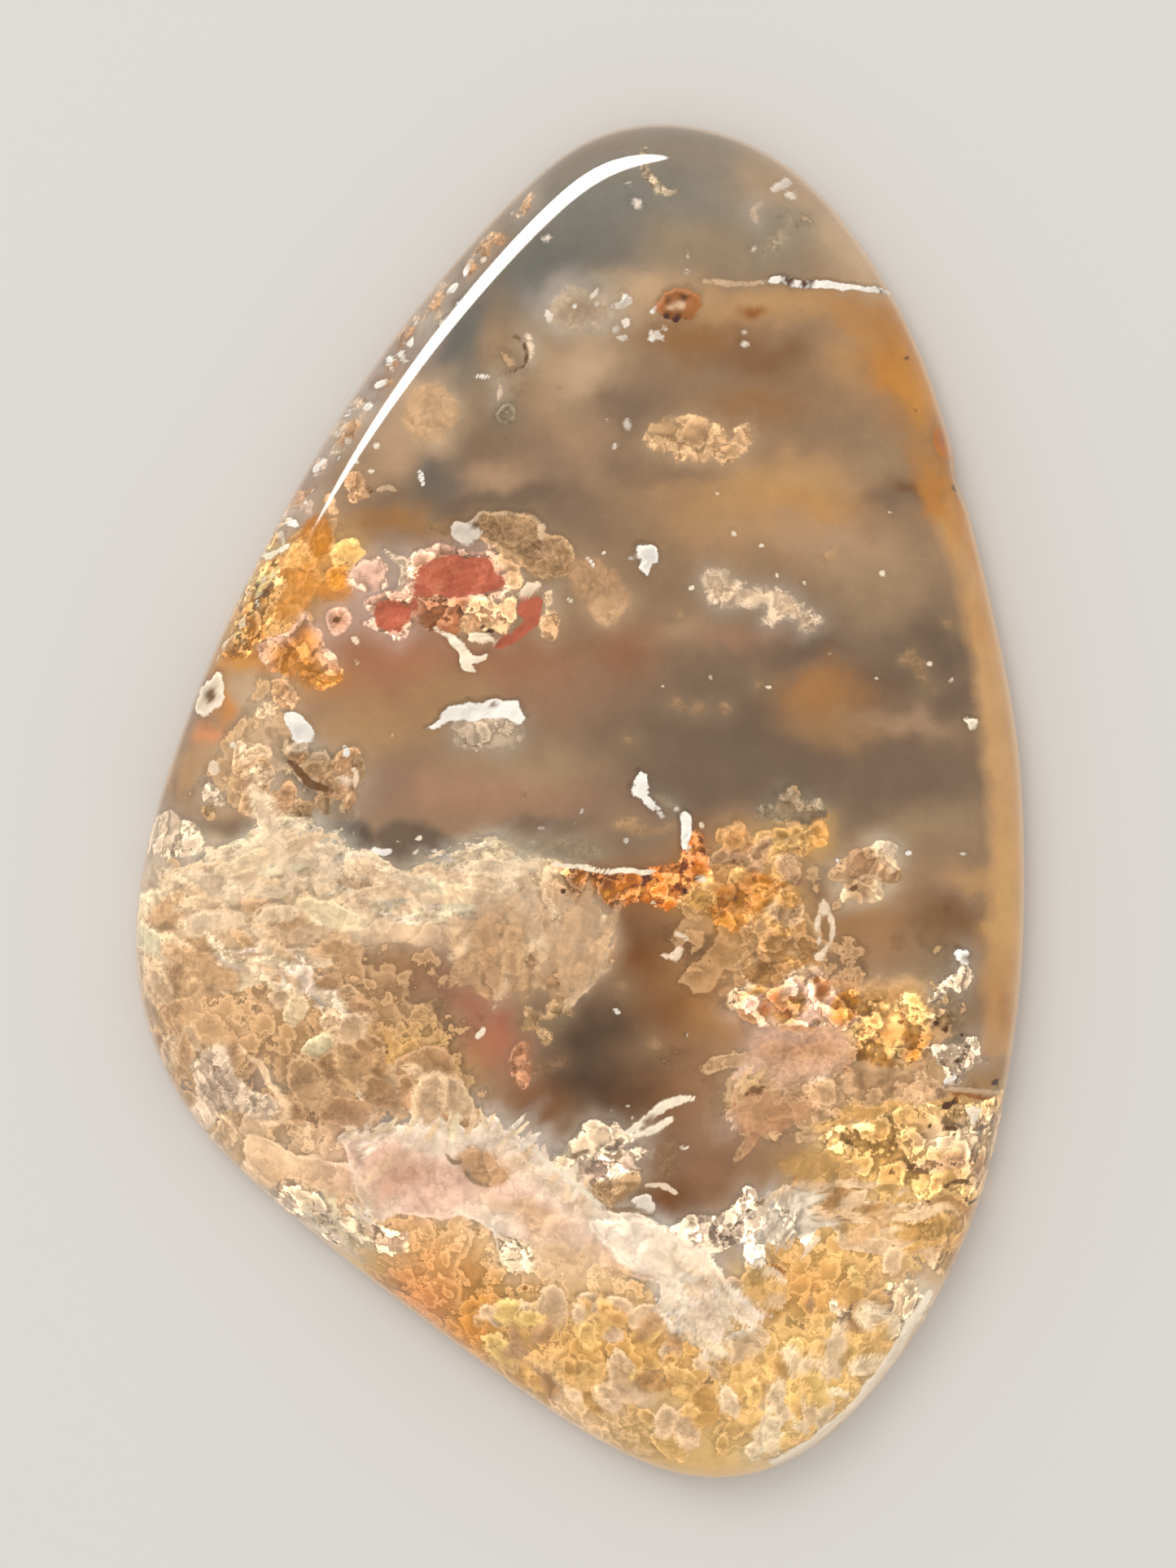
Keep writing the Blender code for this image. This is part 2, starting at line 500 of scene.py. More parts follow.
    def build(self, finish: bpy.types.Material) -> bpy.types.Object:
        """Make the stone as a plain mesh.

        Args:
            finish: the stone's material.

        Returns:
            The stone, at the origin.
        """
        start = self.outline.polyline()
        tree = self.tree()
        shape = start.modifiers.new("form", "NODES")
        shape.node_group = tree
        keys = {item.name: item.identifier for item in tree.interface.items_tree
                if item.in_out == "INPUT"}
        for name, value in self.inputs().items():
            shape[keys[name]] = value
        shape[keys["Chip Centre"]] = self.chip_centre()
        shape[keys["Finish"]] = finish
        bpy.context.view_layer.update()
        ready = start.evaluated_get(bpy.context.evaluated_depsgraph_get())
        mesh = bpy.data.meshes.new_from_object(ready)
        mesh.name = "agate_stone"
        mesh.materials.clear()
        mesh.materials.append(finish)
        mesh.polygons.foreach_set("material_index", [0] * len(mesh.polygons))
        bpy.data.objects.remove(start, do_unlink=True)
        stone = bpy.data.objects.new("agate_stone", mesh)
        bpy.context.scene.collection.objects.link(stone)
        return stone


class Tone(Enum):
    """The agate's colours, as they look on a screen, from 0 to 255."""

    SLATE = (122, 120, 112)
    ASH = (142, 134, 120)
    SMOKE = (124, 104, 88)
    UMBER = (112, 80, 56)
    DUSK = (84, 66, 54)
    TAUPE = (150, 124, 100)
    MAUVE = (150, 120, 100)
    HAZE = (172, 146, 116)
    FAWN = (192, 158, 128)
    SAND = (214, 183, 150)
    TAN = (190, 150, 108)
    CARAMEL = (176, 128, 84)
    CLAY = (172, 120, 92)
    AMBER = (204, 142, 80)
    GOLD = (224, 160, 88)
    HONEY = (226, 178, 118)
    STRAW = (228, 186, 126)
    BUTTER = (252, 214, 152)
    CREAM = (246, 222, 194)
    IVORY = (252, 236, 212)
    SHELL = (252, 238, 230)
    PETAL = (246, 220, 210)
    CHALK = (252, 246, 236)
    PEARL = (216, 203, 188)
    LILAC = (200, 184, 174)
    ROSE = (206, 156, 128)
    BLUSH = (240, 206, 194)
    CORAL = (222, 152, 108)
    BRICK = (184, 104, 84)
    RUST = (156, 98, 58)
    OCHRE = (178, 104, 48)
    ORANGE = (216, 134, 58)
    UMBRA = (76, 48, 28)


class Sheet(Enum):
    """Which sheet of the stone a marking is painted on, from deep to near the surface."""

    GROUND = 0
    TISSUE = 1
    PLUME = 2
    CREST = 3


@dataclass(frozen=True)
class Cloud:
    """A soft coloured cloud: a turned oval that fades from its middle."""

    sheet: Sheet
    tone: Tone
    x: float
    y: float
    wide: float
    high: float
    turn: float = 0.0
    strength: float = 1.0
    bright: float = 1.0


@dataclass(frozen=True)
class Edge:
    """How the edge and the body of a plume look."""

    soft: float = 0.07
    # rim: a pale rim inside the edge, partly a painted highlight that is brighter on edges facing the lamp;
    # shade: painted shade just outside the edge.
    rim: float = 0.5
    shade: float = 0.3
    frill: float = 3.2
    cells: float = 0.0
    rough: float = 0.3
    folds: float = 0.10
    lean: float = 0.0
    deep: float = 0.9
    solid: float = 0.92
    glow: float = 0.32
    # fade: above 0, the body is painted most solid at its edges that face the lamp and thins over this
    # distance away from them, as painted light on the lamp side.
    fade: float = 0.0


PLAIN = Edge()
BILLOW = Edge(rim=0.6, frill=3.4, rough=0.35, folds=0.13, fade=2.0)
LACE = Edge(rim=0.85, shade=0.5, frill=1.8, cells=0.8, rough=0.2, folds=0.08)
VEIL = Edge(soft=0.30, rim=0.15, shade=0.05, frill=1.0, rough=0.12, folds=0.06, solid=0.62)
CRUST = Edge(rim=0.8, shade=0.8, frill=3.6, rough=0.6, folds=0.15)
FLAT = Edge(soft=0.06, rim=0.0, shade=0.15, frill=1.2, rough=0.2, folds=0.0)
DEEP = Edge(soft=0.16, rim=0.2, shade=0.1, frill=1.2, rough=0.12, folds=0.08, solid=0.85)


@dataclass(frozen=True)
class Patch:
    """A body with an edge of its own, drawn as a smooth closed line through a few points."""

    sheet: Sheet
    tone: Tone
    line: tuple[float, ...]
    edge: Edge = PLAIN
    inner: Tone | None = None
    bright: float = 1.0


@dataclass(frozen=True)
class Streak:
    """A line of colour along a smooth path, thin at its ends."""

    sheet: Sheet
    tone: Tone
    line: tuple[float, ...]
    width: float = 0.10
    soft: float = 0.06
    strength: float = 1.0
    tint_only: bool = False
    rim: float = 0.0


@dataclass(frozen=True)
class Crowd:
    """Round bodies or flecks scattered inside a closed line, from a fixed seed."""

    sheet: Sheet
    tones: tuple[Tone, ...]
    line: tuple[float, ...]
    count: int
    size: float
    seed: int
    edge: Edge = LACE
    vary: float = 0.35
    long: float = 1.25
    hollow: float = 0.12
    lean: float = 0.0


Mark = Cloud | Patch | Streak | Crowd
Marks = tuple[Mark, ...]


class NoiseField:
    """Seeded gradient noise in space, from about -1 to 1."""

    gain = 1.6
    octave_shift = 17.3

    def __init__(self, seed: int) -> None:
        """Draw the noise's directions from a fixed seed.

        Args:
            seed: fixes the directions.
        """
        maker = np.random.default_rng(seed)
        self.order = np.tile(maker.permutation(256), 3)
        slopes = maker.normal(size=(256, 3))
        self.slopes = slopes / np.linalg.norm(slopes, axis=1)[:, None]

    def once(self, points: np.ndarray) -> np.ndarray:
        """Return one octave of noise with features about one unit wide.

        Args:
            points: the places, one row each.

        Returns:
            The noise at each place.
        """
        base = np.floor(points).astype(int)
        part = points - base
        base &= 255
        ease = part ** 3 * (part * (part * 6.0 - 15.0) + 10.0)
        total = np.zeros(len(points))
        for corner in range(8):
            step = np.array([corner & 1, corner >> 1 & 1, corner >> 2])
            key = self.order[base[:, 0] + step[0]]
            key = self.order[key + base[:, 1] + step[1]]
            key = self.order[key + base[:, 2] + step[2]]
            push = np.einsum("ij,ij->i", self.slopes[key], part - step)
            weight = np.prod(np.where(step, ease, 1.0 - ease), axis=1)
            total += weight * push
        return total * self.gain

    def layered(self, points: np.ndarray, size: float, octaves: int) -> np.ndarray:
        """Return noise with features about size wide and finer ones added on it.

        Args:
            points: the places, one row each.
            size: the width of the largest features.
            octaves: how many layers, each half as wide as the one before.

        Returns:
            The noise at each place.
        """
        total = np.zeros(len(points))
        strength = 1.0
        for octave in range(octaves):
            total += strength * self.once(points / size * 2 ** octave + self.octave_shift * octave)
            strength *= 0.5
        return total


def linear(colour: np.ndarray) -> np.ndarray:
    """Turn a colour as it looks on a screen, from 0 to 1, into light."""
    return np.where(colour <= 0.04045, colour / 12.92, ((colour + 0.055) / 1.055) ** 2.4)


def tone_light(tone: Tone, bright: float = 1.0) -> np.ndarray:
    """Return a tone's light, made brighter or darker."""
    return linear(np.clip(np.array(tone.value) / 255.0 * bright, 0.0, 1.0))


def turned(gaps: np.ndarray, angle: float) -> tuple[np.ndarray, np.ndarray]:
    """Return how far points lie along and across a direction."""
    cosine = math.cos(angle)
    sine = math.sin(angle)
    return gaps[:, 0] * cosine + gaps[:, 1] * sine, gaps[:, 1] * cosine - gaps[:, 0] * sine


def smooth_line(numbers: tuple[float, ...], closed: bool, steps: int = 6) -> np.ndarray:
    """Return a smooth line through given points.

    Args:
        numbers: x and y of each point in turn.
        closed: whether the line returns to its start.
        steps: how many short pieces join one point to the next.

    Returns:
        The points of the smooth line.
    """
    knots = np.array(numbers, dtype=float).reshape(-1, 2)
    if closed:
        ring = np.vstack([knots[-1:], knots, knots[:2]])
    else:
        ring = np.vstack([2 * knots[:1] - knots[1:2], knots, 2 * knots[-1:] - knots[-2:-1]])
    t = np.linspace(0.0, 1.0, steps, endpoint=False)[:, None]
    made = []
    for a, b, c, d in zip(ring, ring[1:], ring[2:], ring[3:]):
        made.append(0.5 * (2 * b + (c - a) * t + (2 * a - 5 * b + 4 * c - d) * t ** 2
                           + (3 * b - a - 3 * c + d) * t ** 3))
    if not closed:
        made.append(knots[-1:])
    return np.vstack(made)


def to_segments(points: np.ndarray, starts: np.ndarray, ends: np.ndarray) -> tuple[np.ndarray, ...]:
    """Measure each point against a line of short pieces.

    Args:
        points: the places to measure.
        starts: where each short piece starts.
        ends: where each short piece ends.

    Returns:
        Each point's distance, its share along the whole line, and its nearest place on it.
    """
    run = ends - starts
    size = np.maximum((run ** 2).sum(axis=1), 1e-12)
    gap = points[:, None, :] - starts[None]
    share = np.clip((gap * run).sum(axis=2) / size, 0.0, 1.0)
    near = starts[None] + share[..., None] * run[None]
    away = ((points[:, None, :] - near) ** 2).sum(axis=2)
    best = away.argmin(axis=1)
    rows = np.arange(len(points))
    along = (best + share[rows, best]) / len(starts)
    return np.sqrt(away[rows, best]), along, near[rows, best]


def is_inside(points: np.ndarray, starts: np.ndarray, ends: np.ndarray) -> np.ndarray:
    """Tell which points lie inside a closed line.

    Args:
        points: the points to test.
        starts: where each piece of the line starts.
        ends: where each piece ends.

    Returns:
        True for each point inside.
    """
    above = (starts[None, :, 1] > points[:, None, 1]) != (ends[None, :, 1] > points[:, None, 1])
    rise = np.where(ends[:, 1] == starts[:, 1], 1e-9, ends[:, 1] - starts[:, 1])
    cross = (ends - starts)[None, :, 0] * (points[:, None, 1] - starts[None, :, 1]) / rise[None]
    left = points[:, None, 0] < cross + starts[None, :, 0]
    return (above & left).sum(axis=1) % 2 == 1


class Painter:
    """Paints the markings on the points of the stone's mesh, sheet over sheet."""

    lamp_side = np.array([-0.55, 0.83])
    colour_reach = 0.2
    glow_reach = 0.9
    outside = -6.0
    barely_near = -5.9
    seam_start = -5.0
    seam_end = -0.5
    # Painted shade on older bodies just outside the edge of a body laid over them.
    seam_shade = 0.32
    laid_cover = 0.7
    rim_light = (0.55, 0.45)
    shade_light = (0.6, 0.4)
    glow_tone = 0.86
    cloud_fall = 0.9
    cloud_power = 1.15
    ground_share = 0.8
    ground_tone = 0.9
    fold_size = 1.3
    lean_spread = 25.0
    bright_spread = 0.05
    stone_height = 5.0
    bend_size = 1.1
    drift_size = 3.5
    crisp_bend = 0.13
    loose_bend = 0.28
    loose_drift = 0.62
    deep_slide = 1.2

    def __init__(self, points: np.ndarray, seed: int = 7) -> None:
        """Take the stone's points in millimetres and make the sheets blank.

        Args:
            points: the mesh's points, in millimetres.
            seed: fixes the wander of every edge.
        """
        self.points = points
        count = len(points)
        ripple = [NoiseField(seed + i) for i in range(4)]
        self.fold_noise = NoiseField(seed + 9)
        depth = np.clip(1.0 - points[:, 2:3] / self.stone_height, 0.0, 1.0)
        bend = np.stack([noise.layered(points, self.bend_size, 4) for noise in ripple[:2]], axis=1)
        broad = np.stack([noise.layered(points, self.drift_size, 3) for noise in ripple[2:]], axis=1)
        slide = depth ** 2 * broad * self.deep_slide
        self.crisp = points[:, :2] + bend * self.crisp_bend + slide
        self.loose = points[:, :2] + bend * self.loose_bend + broad * self.loose_drift + slide
        self.colour = {sheet: np.zeros((count, 3)) for sheet in Sheet}
        self.colour[Sheet.GROUND][:] = tone_light(Tone.TAUPE)
        self.colour[Sheet.TISSUE][:] = tone_light(Tone.SAND)
        self.cover = {sheet: np.full(count, self.outside) for sheet in Sheet}
        self.cover[Sheet.TISSUE][:] = 0.0
        self.rim, self.shade = ({sheet: np.zeros(count) for sheet in Sheet} for _ in range(2))
        self.frill, self.solid = ({sheet: np.ones(count) for sheet in Sheet} for _ in range(2))
        self.cells = np.zeros(count)
        self.rough = np.full(count, 0.3)

    def near(self, line: np.ndarray, margin: float) -> np.ndarray:
        """Return which points lie in a box around a line of points.

        Args:
            line: the points of the line.
            margin: how far the box reaches beyond them.

        Returns:
            The numbers of the points.
        """
        low, high = line.min(axis=0) - margin, line.max(axis=0) + margin
        flat = self.points[:, :2]
        return np.nonzero((flat > low).all(axis=1) & (flat < high).all(axis=1))[0]

    def tint(self, sheet: Sheet, rows: np.ndarray, share: np.ndarray, light: np.ndarray) -> None:
        """Mix a light into a sheet's colour at some of the points."""
        old = self.colour[sheet][rows]
        self.colour[sheet][rows] = old + (light - old) * share[:, None]

    def cloud(self, mark: Cloud) -> None:
        """Paint a soft cloud.

        Args:
            mark: the cloud.
        """
        middle = np.array([[mark.x, mark.y]])
        rows = self.near(middle, max(mark.wide, mark.high) * 2.0 + 1.5)
        along, across = turned(self.loose[rows] - middle, math.radians(mark.turn))
        away = (along / mark.wide) ** 2 + (across / mark.high) ** 2
        share = abs(mark.strength) * np.exp(-self.cloud_fall * away ** self.cloud_power)
        if mark.strength > 0.0:
            self.tint(mark.sheet, rows, share, tone_light(mark.tone, mark.bright))
        if mark.sheet is Sheet.TISSUE:
            goal = float(mark.strength > 0.0)
            self.cover[mark.sheet][rows] += (goal - self.cover[mark.sheet][rows]) * share
            if mark.strength > 0.0:
                under = tone_light(mark.tone, mark.bright * self.ground_tone)
                self.tint(Sheet.GROUND, rows, share * self.ground_share, under)

    def lay(self, sheet: Sheet, rows: np.ndarray, signed: np.ndarray, outward: np.ndarray,
            light: np.ndarray, edge: Edge, strength: float = 1.0, solid: object = None) -> None:
        """Lay a body over a sheet.

        Args:
            sheet: the sheet to lay it on.
            rows: the points that it may reach.
            signed: how deep inside the body each point is, in millimetres.
            outward: the direction out of the body at each point.
            light: the body's light at each point.
            edge: how its edge and body look.
            strength: how much of the light is mixed in.
            solid: how much each point of the body hides what is under it.
        """
        solid = edge.solid if solid is None else solid
        if sheet is Sheet.PLUME:
            near = strength * edge.glow * np.clip(1.0 + signed / self.glow_reach, 0.0, 1.0) ** 2
            self.tint(Sheet.GROUND, rows, near, light * self.glow_tone)
        q = np.clip(signed / edge.soft, self.outside, -self.outside)
        cover = self.cover[sheet]
        bare = cover[rows] < 0.0
        share = np.clip(q * 0.5 + 0.75, 0.0, 1.0)
        if sheet is not Sheet.GROUND:
            share = np.where(bare & (signed > -self.colour_reach), 1.0, share)
            # Where an older body lies under the new one, darken it just outside the new edge: painted shade.
            seam = ~bare & (q > self.seam_start) & (q <= self.seam_end)
            deep = (q - self.seam_start) / (self.seam_end - self.seam_start)
            dark = np.where(seam, deep * edge.shade * self.seam_shade, 0.0)
            self.colour[sheet][rows] *= 1.0 - dark[:, None]
        self.tint(sheet, rows, strength * share, light)
        if sheet is Sheet.GROUND:
            return
        # The pale rim, partly a painted highlight, and the painted shade outside the edge are strongest on
        # edges that face the lamp side.
        facing = outward @ self.lamp_side
        new = q > np.where(bare, np.maximum(cover[rows], self.barely_near), self.seam_end)
        for store, value in ((self.rim, edge.rim * (self.rim_light[0] + self.rim_light[1] * facing)),
                             (self.shade, edge.shade * (self.shade_light[0] + self.shade_light[1] * facing)),
                             (self.frill, edge.frill), (self.solid, solid)):
            store[sheet][rows] = np.where(new, value, store[sheet][rows])
        if sheet is Sheet.PLUME:
            self.cells[rows] = np.where(new, edge.cells, self.cells[rows])
            self.rough[rows] = np.where(new, edge.rough, self.rough[rows])
        cover[rows] = np.where(bare, np.maximum(cover[rows], q),
                               np.where(q > self.seam_end, np.maximum(q, self.laid_cover), cover[rows]))

    def patch(self, mark: Patch) -> None:
        """Paint a body with an edge.

        Args:
            mark: the body.
        """
        line = smooth_line(mark.line, closed=True)
        edge = mark.edge
        rows = self.near(line, 1.3 + 3.0 * edge.soft)
        places = self.crisp[rows]
        starts, ends = line, np.roll(line, -1, axis=0)
        distance, _, nearest = to_segments(places, starts, ends)
        inside = is_inside(places, starts, ends)
        signed = np.where(inside, distance, -distance)
        outward = np.where(inside[:, None], nearest - places, places - nearest)
        outward /= np.maximum(np.linalg.norm(outward, axis=1), 1e-6)[:, None]
        light = np.tile(tone_light(mark.tone, mark.bright), (len(rows), 1))
        fall, solid = signed, None
        # With a fade, the body is most solid along its edges that face the lamp and thins away from them,
        # and its inner tone is measured from those edges: painted light on the lamp side.
        if edge.fade > 0.0:
            run = ends - starts
            spin = np.sign((starts[:, 0] * ends[:, 1] - starts[:, 1] * ends[:, 0]).sum())
            top = (spin * run[:, 1] * self.lamp_side[0] - spin * run[:, 0] * self.lamp_side[1]) > 0.0
            fall, _, _ = to_segments(places, starts[top], ends[top])
            thin = np.clip(1.6 - 1.6 * fall / edge.fade, 0.0, 1.0)
            solid = edge.solid * thin * thin * (3.0 - 2.0 * thin)
        if mark.inner is not None:
            depth = np.clip(fall / edge.deep, 0.0, 1.0)[:, None]
            light += (tone_light(mark.inner, mark.bright) - light) * depth
        # Streaks along the lean, drawn as lighter ridges and darker folds: painted light and shade on the
        # folds.
        if edge.folds > 0.0:
            along, across = turned(places, math.radians(edge.lean))
            spots = np.stack([along * 0.45, across, self.points[rows, 2] * 0.6], axis=1)
            ridge = 1.0 - 2.0 * np.abs(self.fold_noise.layered(spots, self.fold_size, 3))
            light *= 1.0 + (edge.folds * np.clip(ridge, -1.5, 1.0))[:, None]
        self.lay(mark.sheet, rows, signed, outward, light, edge, solid=solid)

    def streak(self, mark: Streak) -> None:
        """Paint a line of colour.

        Args:
            mark: the line.
        """
        line = smooth_line(mark.line, closed=False)
        rows = self.near(line, mark.width + 3.0 * mark.soft + 0.8)
        places = self.crisp[rows] * 0.5 + self.points[rows, :2] * 0.5
        distance, along, nearest = to_segments(places, line[:-1], line[1:])
        half = mark.width * (0.35 + 0.65 * np.sqrt(np.clip(4.0 * along * (1.0 - along), 0.0, 1.0)))
        signed = half - distance
        light = np.tile(tone_light(mark.tone), (len(rows), 1))
        if mark.tint_only:
            share = mark.strength * np.clip(signed / mark.soft * 0.5 + 0.5, 0.0, 1.0)
            self.tint(mark.sheet, rows, share, light)
            return
        outward = (places - nearest) / np.maximum(distance, 1e-6)[:, None]
        edge = Edge(soft=mark.soft, rim=mark.rim, shade=0.2, frill=2.0, rough=0.1)
        self.lay(mark.sheet, rows, signed, outward, light, edge, mark.strength)

    def crowd(self, mark: Crowd) -> None:
        """Paint a crowd of small bodies.

        Args:
            mark: the crowd.
        """
        maker = np.random.default_rng(mark.seed)
        line = smooth_line(mark.line, closed=True)
        low, high = line.min(axis=0), line.max(axis=0)
        made = 0
        while made < mark.count:
            spot = low + maker.random(2) * (high - low)
            size = mark.size * (1.0 + mark.vary * (maker.random() * 2.0 - 1.0))
            turn = math.radians(mark.lean + maker.normal() * self.lean_spread if mark.lean
                                else maker.random() * 180.0)
            tone = mark.tones[maker.integers(len(mark.tones))]
            bright = 1.0 + self.bright_spread * maker.normal()
            if not is_inside(spot[None], line, np.roll(line, -1, axis=0))[0]:
                continue
            made += 1
            rows = self.near(spot[None], size * 1.6 + 0.9)
            gap = self.crisp[rows] - spot
            along, across = turned(gap, turn)
            away = np.hypot(along / mark.long, across * mark.long)
            outward = gap / np.maximum(np.linalg.norm(gap, axis=1), 1e-6)[:, None]
            bowl = np.clip(1.0 - away / size, 0.0, 1.0)[:, None]
            light = tone_light(tone, bright) * (1.0 - mark.hollow * bowl)
            self.lay(mark.sheet, rows, size - away, outward, light, mark.edge)

    def paint(self, marks: list[Mark]) -> None:
        """Paint markings in order, the later ones over the earlier ones.

        Args:
            marks: the markings.
        """
        ways = {Cloud: self.cloud, Patch: self.patch, Streak: self.streak, Crowd: self.crowd}
        for mark in marks:
            ways[type(mark)](mark)

    def store(self, mesh: bpy.types.Mesh) -> None:
        """Write the sheets to the mesh as colour attributes.

        Args:
            mesh: the stone's mesh, whose points were painted.
        """
        for sheet in Sheet:
            self.write(mesh, sheet.name.lower(), *self.colour[sheet].T, self.cover[sheet])
        low, high = Sheet.PLUME, Sheet.CREST
        self.write(mesh, "edges", self.rim[low], self.shade[low], self.rim[high], self.shade[high])
        self.write(mesh, "feel", self.frill[low], self.frill[high], self.cells, self.rough)
        self.write(mesh, "solid", self.solid[low], self.solid[high], self.rough, self.rough)

    @staticmethod
    def write(mesh: bpy.types.Mesh, name: str, *columns: np.ndarray) -> None:
        """Write one colour attribute, four numbers for each point of the mesh."""
        layer = mesh.color_attributes.new(name, "FLOAT_COLOR", "POINT")
        layer.data.foreach_set("color", np.stack(columns, axis=1).astype(np.float32).ravel())


(SLATE, ASH, SMOKE, UMBER, DUSK, TAUPE, MAUVE, HAZE, FAWN, SAND, TAN, CARAMEL, CLAY, AMBER, GOLD, HONEY,
 STRAW, BUTTER, CREAM, IVORY, SHELL, PETAL, CHALK, PEARL, LILAC, ROSE, BLUSH, CORAL, BRICK, RUST, OCHRE,
 ORANGE, UMBRA) = Tone
GROUND, TISSUE, PLUME, CREST = Sheet
RIM_BAND = Edge(soft=0.3, folds=0.03, lean=80)
BOTTOM_CELLS = Edge(soft=0.09, rim=0.95, shade=0.8, frill=1.9, cells=0.15, rough=0.08, folds=0.08)
PINK_RIM = Edge(shade=0.6, frill=4, rough=0.6)
RED_BODY = Edge(rim=0, shade=0.7, frill=3, rough=1)
CHALKY = Edge(rim=0.25, shade=0.9, frill=2.6, rough=0.9)
WISP = Edge(soft=0.12, rim=0.4, shade=0.2, frill=2.6, rough=0.4)
SHELF_BODY = Edge(rim=0.9, shade=0.9, frill=2.4, rough=0.22, folds=0.15, lean=-8, deep=1.7, fade=3.4)
SHELF_BAND = Edge(rim=0.6, shade=0.35, frill=1.8, folds=0.12, lean=-6)
SHELF_CREST = Edge(rim=0.3, shade=0.7, frill=5, rough=0.2, folds=0.08, solid=0.85, glow=0.1)
RIDGE = Edge(soft=0.1, rim=0.9, shade=0.5, frill=4, rough=0.12, folds=0.16, solid=0.8, glow=0.1)
LOBE = Edge(soft=0.08, rim=0.98, shade=0.7, frill=4.2, rough=0.14, folds=0.2, solid=0.78, glow=0.1)
FAN = Edge(soft=0.16, shade=0.5, rough=0.1, folds=0.16, solid=0.6, glow=0.1)
CORAL_BANK = Edge(rim=0.6, shade=0.5, frill=2.6, cells=0.5, rough=0.5, deep=1.2)
GREY_WISP = Edge(soft=0.12, shade=0.4, frill=2.6)
PINK_BODY = Edge(rim=0.6, shade=0.9, frill=2.6, rough=0.08, folds=0.14, lean=-30, deep=1.8, fade=5)
FEATHER = Edge(shade=0.9, frill=4.6, rough=0.6, folds=0.12, lean=70)
HAIRS = Edge(soft=0.06, rim=0.25, shade=0.5, frill=1.4, rough=0.1, folds=0, glow=0.15)


def clouds(sheet: Sheet, *rows: tuple) -> Marks:
    """Return soft clouds from rows that hold what a Cloud holds after its sheet."""
    return tuple(Cloud(sheet, *row) for row in rows)


def dots(sheet: Sheet, tone: Tone, spots: tuple[float, ...], edge: Edge = FLAT) -> Marks:
    """Return small flecks.

    Args:
        sheet: the sheet that they lie on.
        tone: their colour.
        spots: x, y and radius of each fleck in turn.
        edge: how their edges look.

    Returns:
        The flecks.
    """
    made = []
    for x, y, r in zip(spots[::3], spots[1::3], spots[2::3]):
        lean = 0.4 * math.sin(37.0 * x + 19.0 * y)
        line = (x - r, y - lean * r, x - 0.3 * r, y + 0.8 * r, x + 0.7 * r, y + (0.7 + lean) * r,
                x + r, y - 0.4 * r, x, y - r)
        made.append(Patch(sheet, tone, line, edge))
    return tuple(made)


